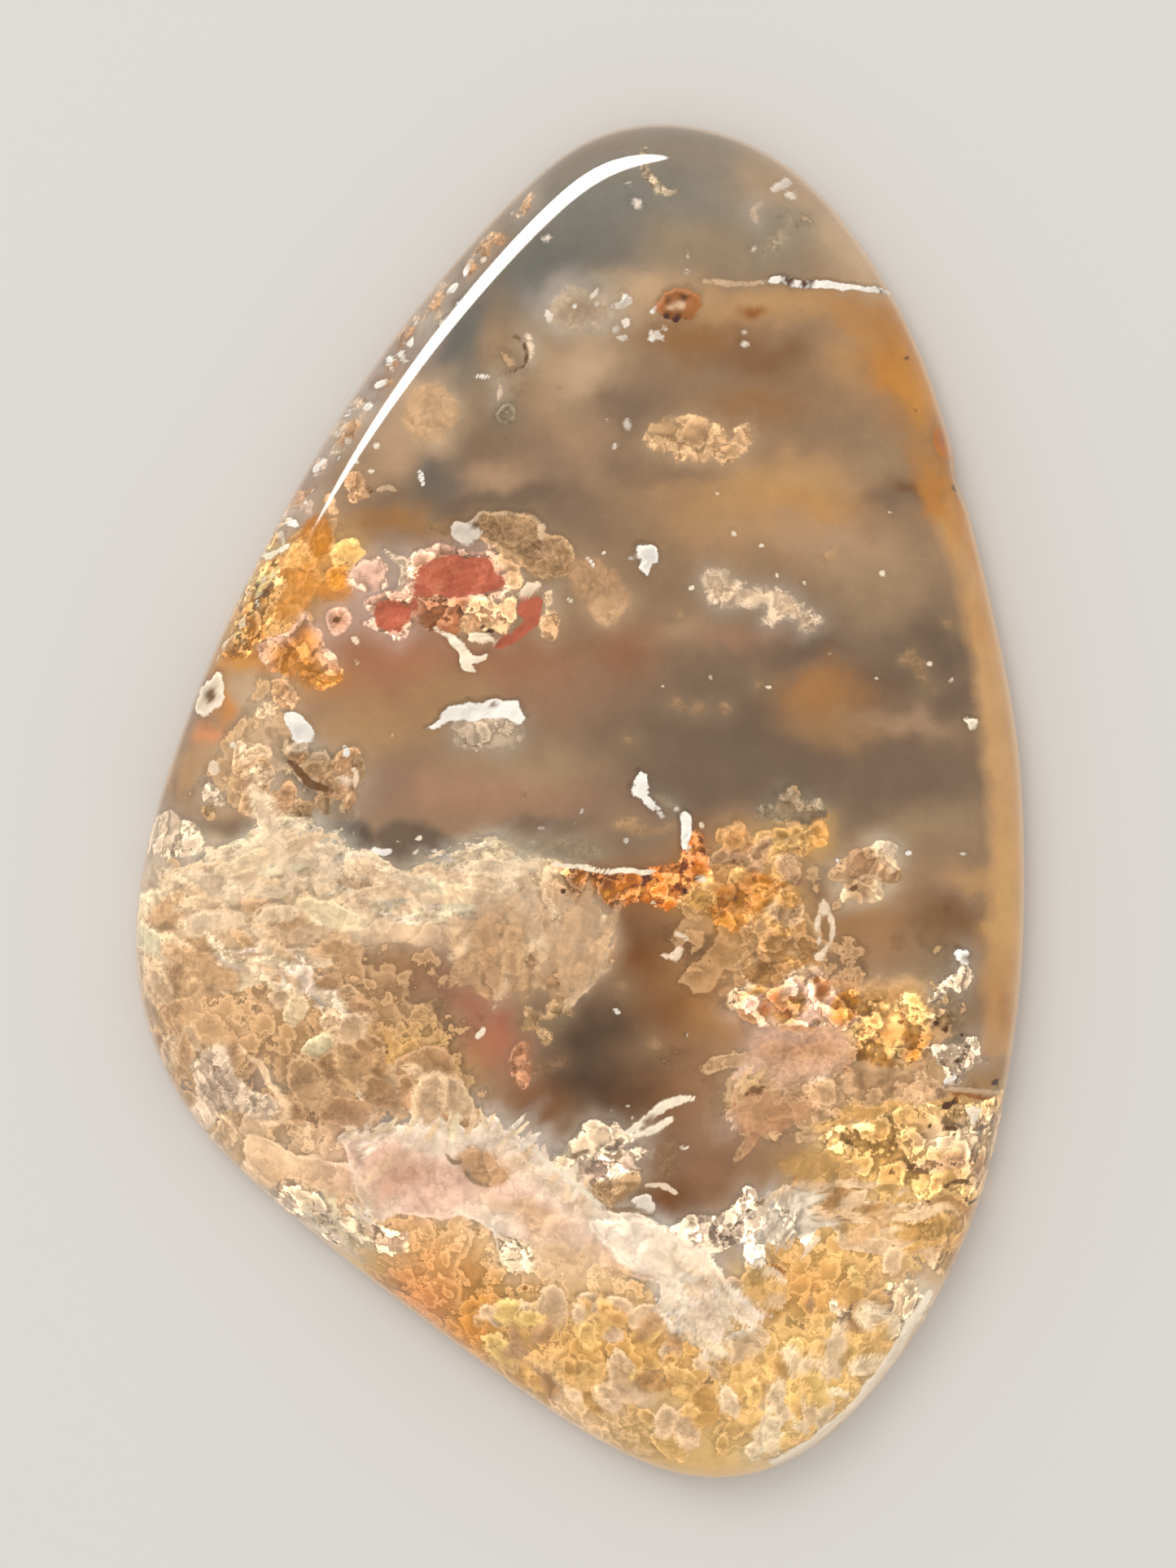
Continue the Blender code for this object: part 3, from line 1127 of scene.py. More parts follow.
@dataclass(frozen=True)
class Markings:
    """Every marking of the stone in painting order, from the deep ground to the flecks near the top."""

    # The soft clouds of the clear upper half.
    upper_ground: Marks = clouds(
        GROUND, (TAUPE, 0, 8, 16, 20, 0, 0.6, 1.02), (SMOKE, 11, 6, 4.6, 1.6, 0, 0.7, 1.05),
        (ASH, 4.6, 22, 5, 3, 0, 0.9, 1.02), (SLATE, 0.8, 21.6, 3, 2.4, 0, 0.9, 1.04),
        (HAZE, 4.6, 20.2, 2.4, 1, 0, 0.6, 0.96), (SAND, 10, 20.6, 1.5, 3.6, 38, 0.9, 0.98),
        (FAWN, 7.8, 23, 1.5, 1.6, 30, 0.6, 0.98), (ASH, -2.6, 21.2, 2.2, 0.8, 45, 0.6, 1.06),
        (LILAC, -7, 16.2, 3.2, 0.8, 55, 0.8, 0.86), (SLATE, -0.9, 19.4, 2.2, 1.6, 0, 1, 0.93),
        (PEARL, 0.4, 18, 1.5, 0.8, -8, 0.8, 0.92), (SAND, 2.8, 18.2, 1.6, 0.8, 0, 0.8, 0.96),
        (SLATE, -4.2, 16.8, 1.3, 2.9, -15, 1, 0.9), (HAZE, -1.4, 15.7, 1.7, 1.4, 0, 0.9, 1.02),
        (SAND, 0.4, 15.9, 1.4, 1.6, 0, 0.8, 0.96), (TAN, 6.9, 17.9, 3.6, 0.9, 0, 0.85, 1.03),
        (CARAMEL, 10.2, 17.9, 1.8, 0.7, -10, 0.7, 1.04), (CARAMEL, 4.6, 16.6, 1.8, 0.7, 0, 0.8, 0.86),
        (UMBER, 7.3, 15.9, 1.7, 0.6, -8, 0.7, 1.16), (TAN, 10.2, 15.7, 1, 1.3, 0, 0.8),
        (CARAMEL, 6.8, 14.4, 2.2, 0.7, 0, 0.7, 0.86), (AMBER, 12.3, 15.8, 1.2, 2.6, 22, 0.95, 0.97),
        (GOLD, 12.9, 15, 0.5, 1.6, 18, 0.6, 0.96), (TAUPE, 9.2, 13.7, 1.8, 0.9, 0, 0.7, 0.98),
        (SMOKE, 2.2, 14.4, 1.5, 1, 0, 0.8, 0.98), (FAWN, -0.1, 12.6, 1.8, 1.6, 0, 0.7, 0.98),
        (SMOKE, 2.4, 12.2, 1.3, 0.8, 0, 0.7, 1.04), (TAN, 6.6, 10.6, 3.8, 1.9, 0, 0.9, 0.97),
        (TAN, 8.2, 11.4, 2, 1.1, 10, 0.8, 1.04), (AMBER, 8.6, 10.4, 1.8, 0.7, 0, 0.3),
        (SMOKE, 4.4, 11.9, 1.2, 0.4, 0, 0.6), (HAZE, 11.5, 12.6, 1.4, 0.8, 0, 0.7, 0.96),
        (SMOKE, 11.6, 10.9, 1.3, 0.6, -5, 0.75), (UMBER, 12.7, 11.4, 0.9, 0.4, -15, 0.8),
        (FAWN, 9.6, 9.2, 2.6, 0.9, -4, 0.7), (HAZE, 11.6, 8, 2, 0.9, 0, 0.5, 1.02),
        (TAUPE, 2.6, 9.8, 2, 1.2, 0, 0.6, 0.98), (SMOKE, -3, 12, 3.4, 1.6, 0, 0.8, 0.98),
        (FAWN, -3, 12.1, 1.5, 0.6, 0, 0.8, 0.98), (SMOKE, -2.6, 11.1, 2.7, 0.5, 0, 0.8, 0.92),
        (SLATE, -5.2, 12.2, 1.1, 0.9, 0, 0.9, 0.8), (SMOKE, 0, 10.2, 1.8, 0.8, 0, 0.6, 1.02),
        (SAND, -5.2, 14.3, 1.2, 1, 15, 0.95, 0.98), (FAWN, -6.8, 12.9, 1.1, 1.2, 30, 0.9, 1.02),
        (CARAMEL, -6.2, 10, 2.4, 0.7, 0, 0.8, 0.93), (SMOKE, -7.4, 10.9, 1, 0.5, 0, 0.6, 0.96),
        (TAUPE, 2.8, 8, 1.4, 1.4, 0, 0.7, 0.97))

    # The soft clouds of the clear middle.
    middle_ground: Marks = (
        *clouds(GROUND, (CLAY, -7, 4.9, 2.6, 1.5, 0, 0.95), (CLAY, -2.4, 5, 2.8, 0.9, 0, 0.8, 0.97),
            (CLAY, 2.1, 5.2, 1.4, 1.2, 0, 0.85, 0.93), (TAN, -7.6, 2.6, 1.8, 1, 0, 0.8, 0.97),
            (TAN, -4.6, 3.6, 2.4, 0.8, 0, 0.6, 0.93), (ROSE, -3.2, 0.2, 4.4, 1.2, 0, 0.75, 0.88),
            (HAZE, -1, 1.2, 2.8, 1.1, 0, 0.7, 1.03), (MAUVE, -6.7, 0.6, 1.1, 1.2, 0, 0.7, 0.98),
            (ROSE, -0.4, 3.6, 1.8, 0.9, 0, 0.6, 0.84), (FAWN, 4.2, 5.9, 1.3, 0.6, 0, 0.8, 0.95),
            (ROSE, 6.2, 5.9, 1.3, 0.5, 0, 0.6, 0.85), (HAZE, 10.6, 7, 1.5, 0.8, 0, 0.5, 0.96),
            (SMOKE, 7, 2.6, 6.6, 2.6, 0, 0.9, 0.92), (SMOKE, 8.7, 5.6, 1.5, 0.5, 0, 0.8, 0.9),
            (SMOKE, 13.2, 5.6, 1.4, 0.9, 0, 0.85, 0.92), (SMOKE, 11.2, 4.5, 1.5, 0.7, 0, 0.85, 0.88),
            (SMOKE, 13.8, 3.8, 1, 0.6, 0, 0.8, 0.92), (SMOKE, 6.4, 0.4, 4.6, 1.8, 0, 0.9, 0.95),
            (SMOKE, 12.4, 0.9, 3.2, 1.4, 0, 0.9, 0.98), (CARAMEL, 9.4, 3.8, 1.3, 1.1, 0, 0.85, 0.98),
            (TAN, 9.8, 2.7, 1.6, 0.5, 0, 0.5, 0.92), (FAWN, 12.4, 2.8, 1.8, 0.4, -8, 0.6, 0.98),
            (HAZE, 12.4, -1.2, 3.2, 0.8, 10, 0.8, 0.93), (MAUVE, 1.6, -0.6, 2.6, 0.9, 0, 0.6),
            (TAN, 14.4, -2.7, 1.7, 0.55, 8, 0.9), (TAUPE, 12.2, -3, 1.6, 0.7, 0, 0.7, 1.04),
            (UMBER, 14, -4.6, 1.5, 0.9, 0, 0.95, 1.08), (TAUPE, 12.6, -6.4, 1.4, 0.7, 0, 0.6, 0.94),
            (CARAMEL, 10.7, -4.3, 1.6, 0.7, -8, 0.8, 0.96), (CARAMEL, 11, -5.4, 2, 0.7, -5, 0.8, 0.92)),
        Patch(GROUND, SMOKE, (-9.3, -0.9, -8.2, -0.7, -7.4, -1, -7.2, -1.8, -8.2, -2.2, -9, -1.5), DEEP,
            None, 0.78),
        Patch(GROUND, SMOKE, (-6.9, -1.1, -6, -0.85, -5, -1, -4.4, -1.5, -4.8, -2.1, -6.6, -2.2, -7, -1.7),
            DEEP, None, 0.92),
        *clouds(GROUND, (SMOKE, -0.8, -1.3, 1.6, 0.35, 0, 0.7, 0.96),
            (SMOKE, 2.6, -1.6, 1.4, 0.6, 0, 0.6, 1.02)),
    )

    # The soft clouds of the lower half.
    lower_ground: Marks = clouds(
        GROUND, (CARAMEL, -6.2, -5.6, 3, 1.5, 0, 0.9), (CLAY, -6.9, -6.4, 1.2, 0.6, 0, 0.7, 0.92),
        (FAWN, -9.6, -4.6, 1.6, 0.9, 0, 0.7, 0.98), (RUST, 2.6, -5.4, 1.4, 1.5, 0, 0.95, 0.74),
        (CARAMEL, 5, -7.6, 2.6, 1.5, 0, 0.95, 0.97), (RUST, 3, -7.6, 1, 1, 0, 0.6, 0.78),
        (DUSK, 0.4, -8.4, 2, 1.6), (DUSK, 1.4, -10.4, 2.6, 1.5, 0, 1, 0.98),
        (RUST, 4.2, -10.6, 1.8, 1.8, 0, 0.7, 0.86), (RUST, -1.2, -11.2, 1.3, 1.1, 0, 0.8, 0.8),
        (BRICK, -3.6, -7.5, 1.7, 1, -30, 0.95, 0.9), (BRICK, -2.9, -9, 1.1, 1.1, 0, 0.85, 0.95),
        (CORAL, -3.6, -9.6, 0.8, 0.6, 0, 0.5, 0.9), (CARAMEL, 7.6, -9.8, 2.6, 1.4, 15, 0.9),
        (CLAY, 5.2, -12.8, 2.6, 1.6, 0, 0.9, 0.78), (TAN, 6.6, -11.4, 1.6, 0.8, 0, 0.6, 0.88),
        (RUST, 8.4, -12.3, 1.6, 0.6, 10, 0.8, 0.82), (CARAMEL, 9, -13.6, 1.8, 0.6, 0, 0.9, 0.9),
        (RUST, 7.2, -14.4, 1.6, 0.8, 0, 0.7, 0.78), (RUST, 3.4, -14.4, 0.9, 1.2, 0, 0.9, 0.72),
        (CARAMEL, -9, -12, 2.6, 1.2, 0, 1, 0.84), (TAUPE, -7, -10.6, 2, 1, 0, 0.7, 1.04),
        (TAN, -10.2, -10.6, 1.2, 1.3, 0, 0.9, 0.94), (RUST, -9, -9.4, 1.1, 1, 0, 0.95, 0.92),
        (CLAY, -11.6, -10.2, 0.9, 1.1, 40, 0.9, 0.9), (TAN, -13.8, -8.2, 1.4, 1.2, 0, 0.95, 1.02),
        (AMBER, -15.2, -8.1, 1.1, 0.8, 0, 0.95, 1.02), (FAWN, -14.6, -10.2, 0.9, 1.6, 25, 0.9, 1.04),
        (TAN, -13, -13, 1.2, 0.9, -45, 0.9), (BLUSH, -15.2, -5.4, 2.2, 2.2, 0, 0.95, 0.95),
        (SAND, -14.8, -2.8, 2.2, 1, 0, 0.9, 1.03), (TAUPE, 14.9, -7.4, 1, 1.4, 0, 0.8, 0.86),
        (CARAMEL, 15.4, -8.8, 0.7, 1.8, 0, 0.9, 1.06), (CARAMEL, 14.6, -10.2, 1.1, 0.5, 0, 0.8, 0.82))

    # Where the lobed tissue grows, how dense it is and its colours.
    tissue: Marks = clouds(
        TISSUE, (FAWN, -9, -7.8, 6.4, 3.4, 0, 0.72, 0.97), (SAND, -12.4, -5.4, 4, 2.2, 0, 0.8),
        (SAND, -13.4, -9, 2.4, 2.8, 0, 0.6), (STRAW, -6.2, -9.6, 3.2, 1.6, -20, 0.8, 0.9),
        (TAN, -10, -12, 4, 1.3, -15, 0.55, 0.9), (SAND, -2.2, -5.6, 2, 1.6, 0, 0.6),
        (CREAM, -9.4, -14.2, 3.4, 1.8, -25, 0.7), (STRAW, 1.4, -20.6, 7, 3.4, -5, 0.95, 0.98),
        (CREAM, -0.6, -22.4, 3, 1.6, -30, 0.6), (BUTTER, 8.8, -21.2, 3.8, 2.8, 35, 0.9, 1.03),
        (GOLD, -5.2, -16.8, 2.6, 1.6, -30, 0.6, 1.03), (CORAL, -5.6, -18.4, 1.6, 1, -38, 0.7),
        (GOLD, -3.5, -19.4, 0.8, 1.6, -35, 0.8), (BUTTER, 11.4, -15.6, 4.4, 2.2, 10, 0.9, 0.98),
        (STRAW, 12.4, -12, 3.4, 1.9, 12, 0.9), (HONEY, 8.4, -17.6, 2.4, 1.4, 0, 0.8, 0.96),
        (CREAM, -1.4, -16.6, 4, 1.2, -10, 0.7), (SAND, 8.4, -10.2, 4, 2, 20, 0.85),
        (CORAL, 8.4, -7.4, 2.6, 1, 0, 0.8, 1.05), (HONEY, 11.6, -8.4, 1.9, 1.3, 0, 0.85),
        (TAN, 7.4, -5, 2.8, 2.4, 0, 0.7), (AMBER, 6, -3.4, 1.8, 1.2, 0, 0.6, 0.88),
        (FAWN, 10.6, -2.8, 1.6, 1.1, 0, 0.65), (HAZE, 8, -0.6, 1.8, 0.8, 0, 0.55),
        (FAWN, 10.4, -5.6, 2, 1, 0, 0.5, 0.96), (HAZE, 13.8, -6.8, 1, 2.4, 0, 0.55),
        (HONEY, -11.2, 6.8, 2.6, 2, 55, 0.75), (GOLD, -10, 8.8, 1.6, 1.2, 0, 0.75),
        (SAND, -11.6, 2.4, 2.4, 1.6, 40, 0.6), (PEARL, -9.4, 0.8, 2, 1.4, -30, 0.6, 0.96),
        (SAND, -12.6, 0.4, 2, 1, 0, 0.5), (BLUSH, -5.4, 7.2, 2.4, 1.2, 0, 0.5, 0.94),
        (HAZE, -2, 9.2, 2, 1, -15, 0.55), (HAZE, 0.8, 7.6, 1.2, 1.3, -30, 0.4),
        (TAUPE, -2, 14.8, 1.4, 2, 0, 0.4, 1.06), (LILAC, -6.6, 15.4, 2.4, 0.8, 55, 0.45, 0.94),
        (HAZE, -7.4, 12.4, 1.2, 1, 30, 0.4), (ASH, 7.6, 20.8, 1.4, 1, 30, 0.35, 1.08),
        (HAZE, 0.8, 17.6, 1.4, 1, 0, 0.35), (BLUSH, -6, -13.6, 3, 1.4, -10, 0.7),
        (FAWN, -4.6, -11, 1.8, 0.9, 0, 0.7), (SAND, -15.2, -3.2, 1.8, 1.4, 0, 0.6),
        (HAZE, 3, -9.4, 1.2, 0.8, 0, 0.3, 0.9), (CARAMEL, 4.6, -6, 1.6, 1.4, 0, 0.4),
        (BUTTER, 3.4, -22.4, 1.2, 1.6, 0, -0.8), (BUTTER, 0.6, -10, 2.6, 2, 0, -0.8),
        (BUTTER, 5.2, -13.2, 2.8, 1.2, 0, -0.8))

    # The pale band of painted light along the thin right edge, where it lets the light in.
    right_band: Marks = (
        Patch(GROUND, TAN, (13.4, 10.4, 14.1, 8.2, 14.45, 6.2, 14.8, 4.2, 15.15, 1.4, 15.3, -1.6,
            15.3, -4.6, 15.25, -7.4, 15.4, -9, 17.4, -9, 17.6, 0, 16.4, 8.2, 14.6, 11.4), RIM_BAND, None,
            1.1),
        *clouds(GROUND, (AMBER, 14.6, 8.8, 0.7, 2.4, 14, 0.8), (AMBER, 13.6, 11, 0.45, 1.8, 16, 0.9, 0.96),
            (HONEY, 15.9, -3.6, 0.7, 2.2, 0, 0.7, 0.98), (CARAMEL, 15.8, -7.6, 0.7, 1.6, 0, 0.8, 1.06)),
    )

    # The gold and straw bank of the wide bottom end.
    bottom: Marks = (
        Patch(GROUND, STRAW, (-9.4, -16.4, -7, -15.2, -3, -15.2, 1, -17, 5.6, -17.4, 8, -16, 9.4, -15.2,
            12, -14.6, 15.6, -14.4, 12.6, -21, 6, -26, -3, -22.6), Edge(soft=0.4, folds=0.06), None, 0.98),
        *clouds(GROUND, (HONEY, -5.6, -16.2, 2.4, 1, -30, 0.9, 0.98),
            (CORAL, -5.2, -18, 1.9, 0.9, -38, 0.95, 0.98), (ORANGE, -4.3, -17.6, 0.8, 0.8, 0, 0.7, 1.02),
            (AMBER, -3.5, -19.6, 0.8, 1.5, -30, 0.95, 1.08), (TAN, -1.9, -17.8, 1.2, 0.7, 0, 0.7, 1.02),
            (STRAW, 1, -18, 1.8, 1, 0, 0.8, 0.94), (TAN, 1.4, -19.9, 2.6, 0.5, 0, 0.85, 1.05),
            (TAN, 4.4, -20.3, 1.4, 0.5, 0, 0.9, 1.02), (TAN, 5.6, -21.2, 0.9, 0.8, 0, 0.9, 1.04),
            (TAN, 4.5, -22.4, 0.7, 0.9, 0, 0.85, 1.08), (STRAW, 3.2, -23.2, 2, 1.5, 0, 0.95),
            (BUTTER, 0.4, -22.4, 1.8, 0.9, -30, 0.7, 0.98), (GOLD, 8.5, -16.9, 1.2, 1, 0, 0.95),
            (AMBER, 8.8, -17.3, 0.5, 0.7, 0, 0.6, 1.05), (TAN, 7.2, -18.4, 1.4, 1.1, 0, 0.8, 1.04),
            (GOLD, 11.2, -17.5, 1.7, 0.7, 10, 0.9, 0.86), (CREAM, 12.2, -18.4, 1.4, 1.4, 50, 0.9, 0.98),
            (BUTTER, 9, -21.4, 2.6, 1.6, 35, 0.9, 1.02), (BUTTER, 6.8, -23.6, 1.6, 1.2, 20, 0.8, 1.02)),
        Crowd(PLUME, (STRAW, BUTTER, CREAM), (-2.6, -18.4, 0.8, -17.9, 3.2, -18.8, 3.8, -19.6, 1, -19.4,
            -1, -19.4, -2.4, -19.2), 26, 0.42, 11, BOTTOM_CELLS),
        Crowd(PLUME, (BUTTER, CREAM, STRAW), (-3.2, -19.8, -1.8, -20.2, -1.4, -21.2, 0.2, -20.9, 2.6, -21.2,
            2, -22, -0.6, -21.9, -2.4, -21.2), 30, 0.44, 12, BOTTOM_CELLS),
        Crowd(PLUME, (CREAM, IVORY), (9.6, -18.2, 11.4, -18.2, 12.8, -17.8, 12.4, -19, 10.8, -19.8,
            9.4, -19.2), 22, 0.45, 15, Edge(rim=0.4, rough=0.6)),
        *dots(CREST, RUST, (-3.65, -20, 0.09, 7.5, -18.65, 0.1, 9, -18.6, 0.09, -1.7, -17.7, 0.11)),
        Patch(PLUME, CREAM, (9.3, -15.2, 9.9, -14.5, 10.8, -14.5, 12.2, -14.6, 13, -14.5, 14.2, -14.6,
            14.9, -14.6, 14.4, -16.2, 13.6, -17.2, 13, -17, 12.8, -16.7, 11.6, -16.5, 10.4, -16.1,
            9.6, -15.8), BILLOW, STRAW, 0.95),
    )

    # The yellow mass at the left rim.
    upper_left: Marks = (
        *clouds(GROUND, (FAWN, -11, 9.8, 1.4, 1.2, 60, 0.9), (HONEY, -12.2, 6.8, 1.6, 2, 60, 0.95, 0.94),
            (HONEY, -11.2, 8.2, 1.2, 1.4, 60, 0.9, 0.94)),
        Patch(PLUME, AMBER, (-11.4, 9, -10.6, 8.6, -9.8, 8.4, -9, 8, -8.2, 8, -8, 7.6, -8.6, 7.3, -9.4, 7.5,
            -9.7, 7, -10.2, 6.8, -10.8, 6.6, -11.6, 6.8, -12, 7.6), VEIL, GOLD, 1.05),
        Patch(PLUME, AMBER, (-9.9, 10.3, -9.3, 10.5, -8.9, 10.3, -8.8, 9.6, -9, 9, -9.6, 8.8, -10.1, 9.2),
            DEEP, GOLD, 0.97),
        Patch(PLUME, SAND, (-9, 10.4, -9.1, 11.2, -8.8, 11.1, -8.6, 10.4, -8.8, 9.9)),
        Patch(PLUME, BUTTER, (-8.9, 9, -8.5, 9.45, -8, 9.55, -7.8, 9.2, -7.6, 9, -7.9, 8.5, -8, 8.3,
            -8.2, 8.7, -8.7, 8.6), LACE, HONEY, 0.97),
        Patch(PLUME, GOLD, (-9, 8.3, -8.6, 8.6, -8.2, 8.4, -8.1, 7.9, -8.5, 7.7, -8.9, 7.8), LACE),
        Patch(PLUME, HONEY, (-10.6, 9.2, -10.1, 9.45, -9.7, 9.2, -9.6, 8.8, -10.1, 8.5, -10.6, 8.7), LACE),
        Patch(PLUME, BLUSH, (-10.4, 6.2, -9.9, 6.9, -9.5, 6.4, -9.2, 6.1, -9, 5.6, -8.7, 5.3, -8.5, 4.9,
            -8.4, 4.6, -8.6, 4.2, -9.2, 4, -9.9, 4.1, -10.6, 4.5, -11.4, 5, -11.6, 5.8), BILLOW, GOLD,
            0.95),
        *clouds(PLUME, (AMBER, -10.3, 5.1, 0.9, 0.8, 0, 0.9, 1.06),
            (ORANGE, -9.9, 4.2, 0.9, 0.35, 0, 0.6, 0.98)),
        Patch(PLUME, BLUSH, (-9, 6.8, -8.6, 7.1, -8.1, 6.9, -8.1, 6.3, -8.4, 6.1, -8.9, 6.2), LACE, ORANGE,
            0.98),
        *clouds(GROUND, (ORANGE, -12, 4.9, 1.4, 0.4, 0, 0.85, 0.95),
            (ORANGE, -12.8, 3.5, 0.35, 0.7, 0, 0.9), (SAND, -11.4, 3.6, 1.3, 1.1, 0, 0.85),
            (CORAL, -13.7, 2.4, 0.8, 0.5, 0, 0.9), (TAN, -14.2, 1.2, 1, 0.8, 0, 0.7),
            (SAND, -12.6, 1.4, 1.2, 0.8, 0, 0.7, 0.97)),
        Crowd(PLUME, (HONEY, GOLD, BUTTER), (-12.6, 8.2, -11.4, 9.8, -10.8, 9.2, -11, 7.4, -11.6, 5.8,
            -12.8, 5.2, -13.4, 6), 24, 0.34, 21, Edge(shade=0.35, rough=0.7)),
        Crowd(CREST, (CREAM, BUTTER, IVORY), (-12.6, 7.6, -11.4, 10.2, -10.6, 10.8, -10.6, 9.6, -11.2, 8,
            -12.4, 6.2, -13.4, 5), 46, 0.13, 22, Edge(soft=0.06, shade=0.5, frill=2), 0.5, 1.5),
        *dots(CREST, UMBER, (-11.7, 8.1, 0.18, -11.3, 7.6, 0.16, -11.1, 7.9, 0.12, -8.6, 6.6, 0.14)),
        Patch(CREST, IVORY, (-14, 3.5, -13.7, 4.5, -13, 4.6, -12.9, 3.9, -13.2, 3.3, -13.6, 3.1), CRUST,
            SAND, 0.96),
        Patch(CREST, UMBER, (-13.65, 3.85, -13.4, 4.15, -13.25, 3.8, -13.45, 3.5), FLAT, None, 1.05),
        Patch(PLUME, CREAM, (-11.6, 3.2, -11.4, 3.5, -11, 3.6, -10.8, 3.2, -11.1, 2.9, -11.5, 2.95), PLAIN,
            None, 0.97),
        Patch(PLUME, FAWN, (-10.9, 4.4, -10.3, 4.2, -9.9, 3.7, -10.3, 3.3, -10.9, 3.6), BILLOW, None, 1.05),
        Patch(CREST, CHALK, (-10.6, 3.1, -10.2, 3.3, -9.9, 3.15, -9.7, 2.9, -9.45, 2.6, -9.35, 2.25,
            -9.5, 2.05, -9.8, 2, -10.1, 2.1, -10.3, 2.5, -10.55, 2.8),
            Edge(rim=0.2, shade=0.8, frill=3, rough=0.6), None, 0.96),
        Streak(CREST, CREAM, (-8.05, 5.85, -7.9, 5.8, -7.8, 5.6), 0.08),
        *dots(CREST, IVORY, (-7.9, 5, 0.13, -12.5, 2, 0.13, -6.55, 2.4, 0.07, -5.3, 4.1, 0.06)),
        *dots(CREST, RUST, (-7.9, 5, 0.05)),
        Patch(CREST, CREAM, (-13.4, 1.1, -13.3, 1.5, -13, 1.2, -13.1, 0.9), FLAT, None, 0.98),
    )

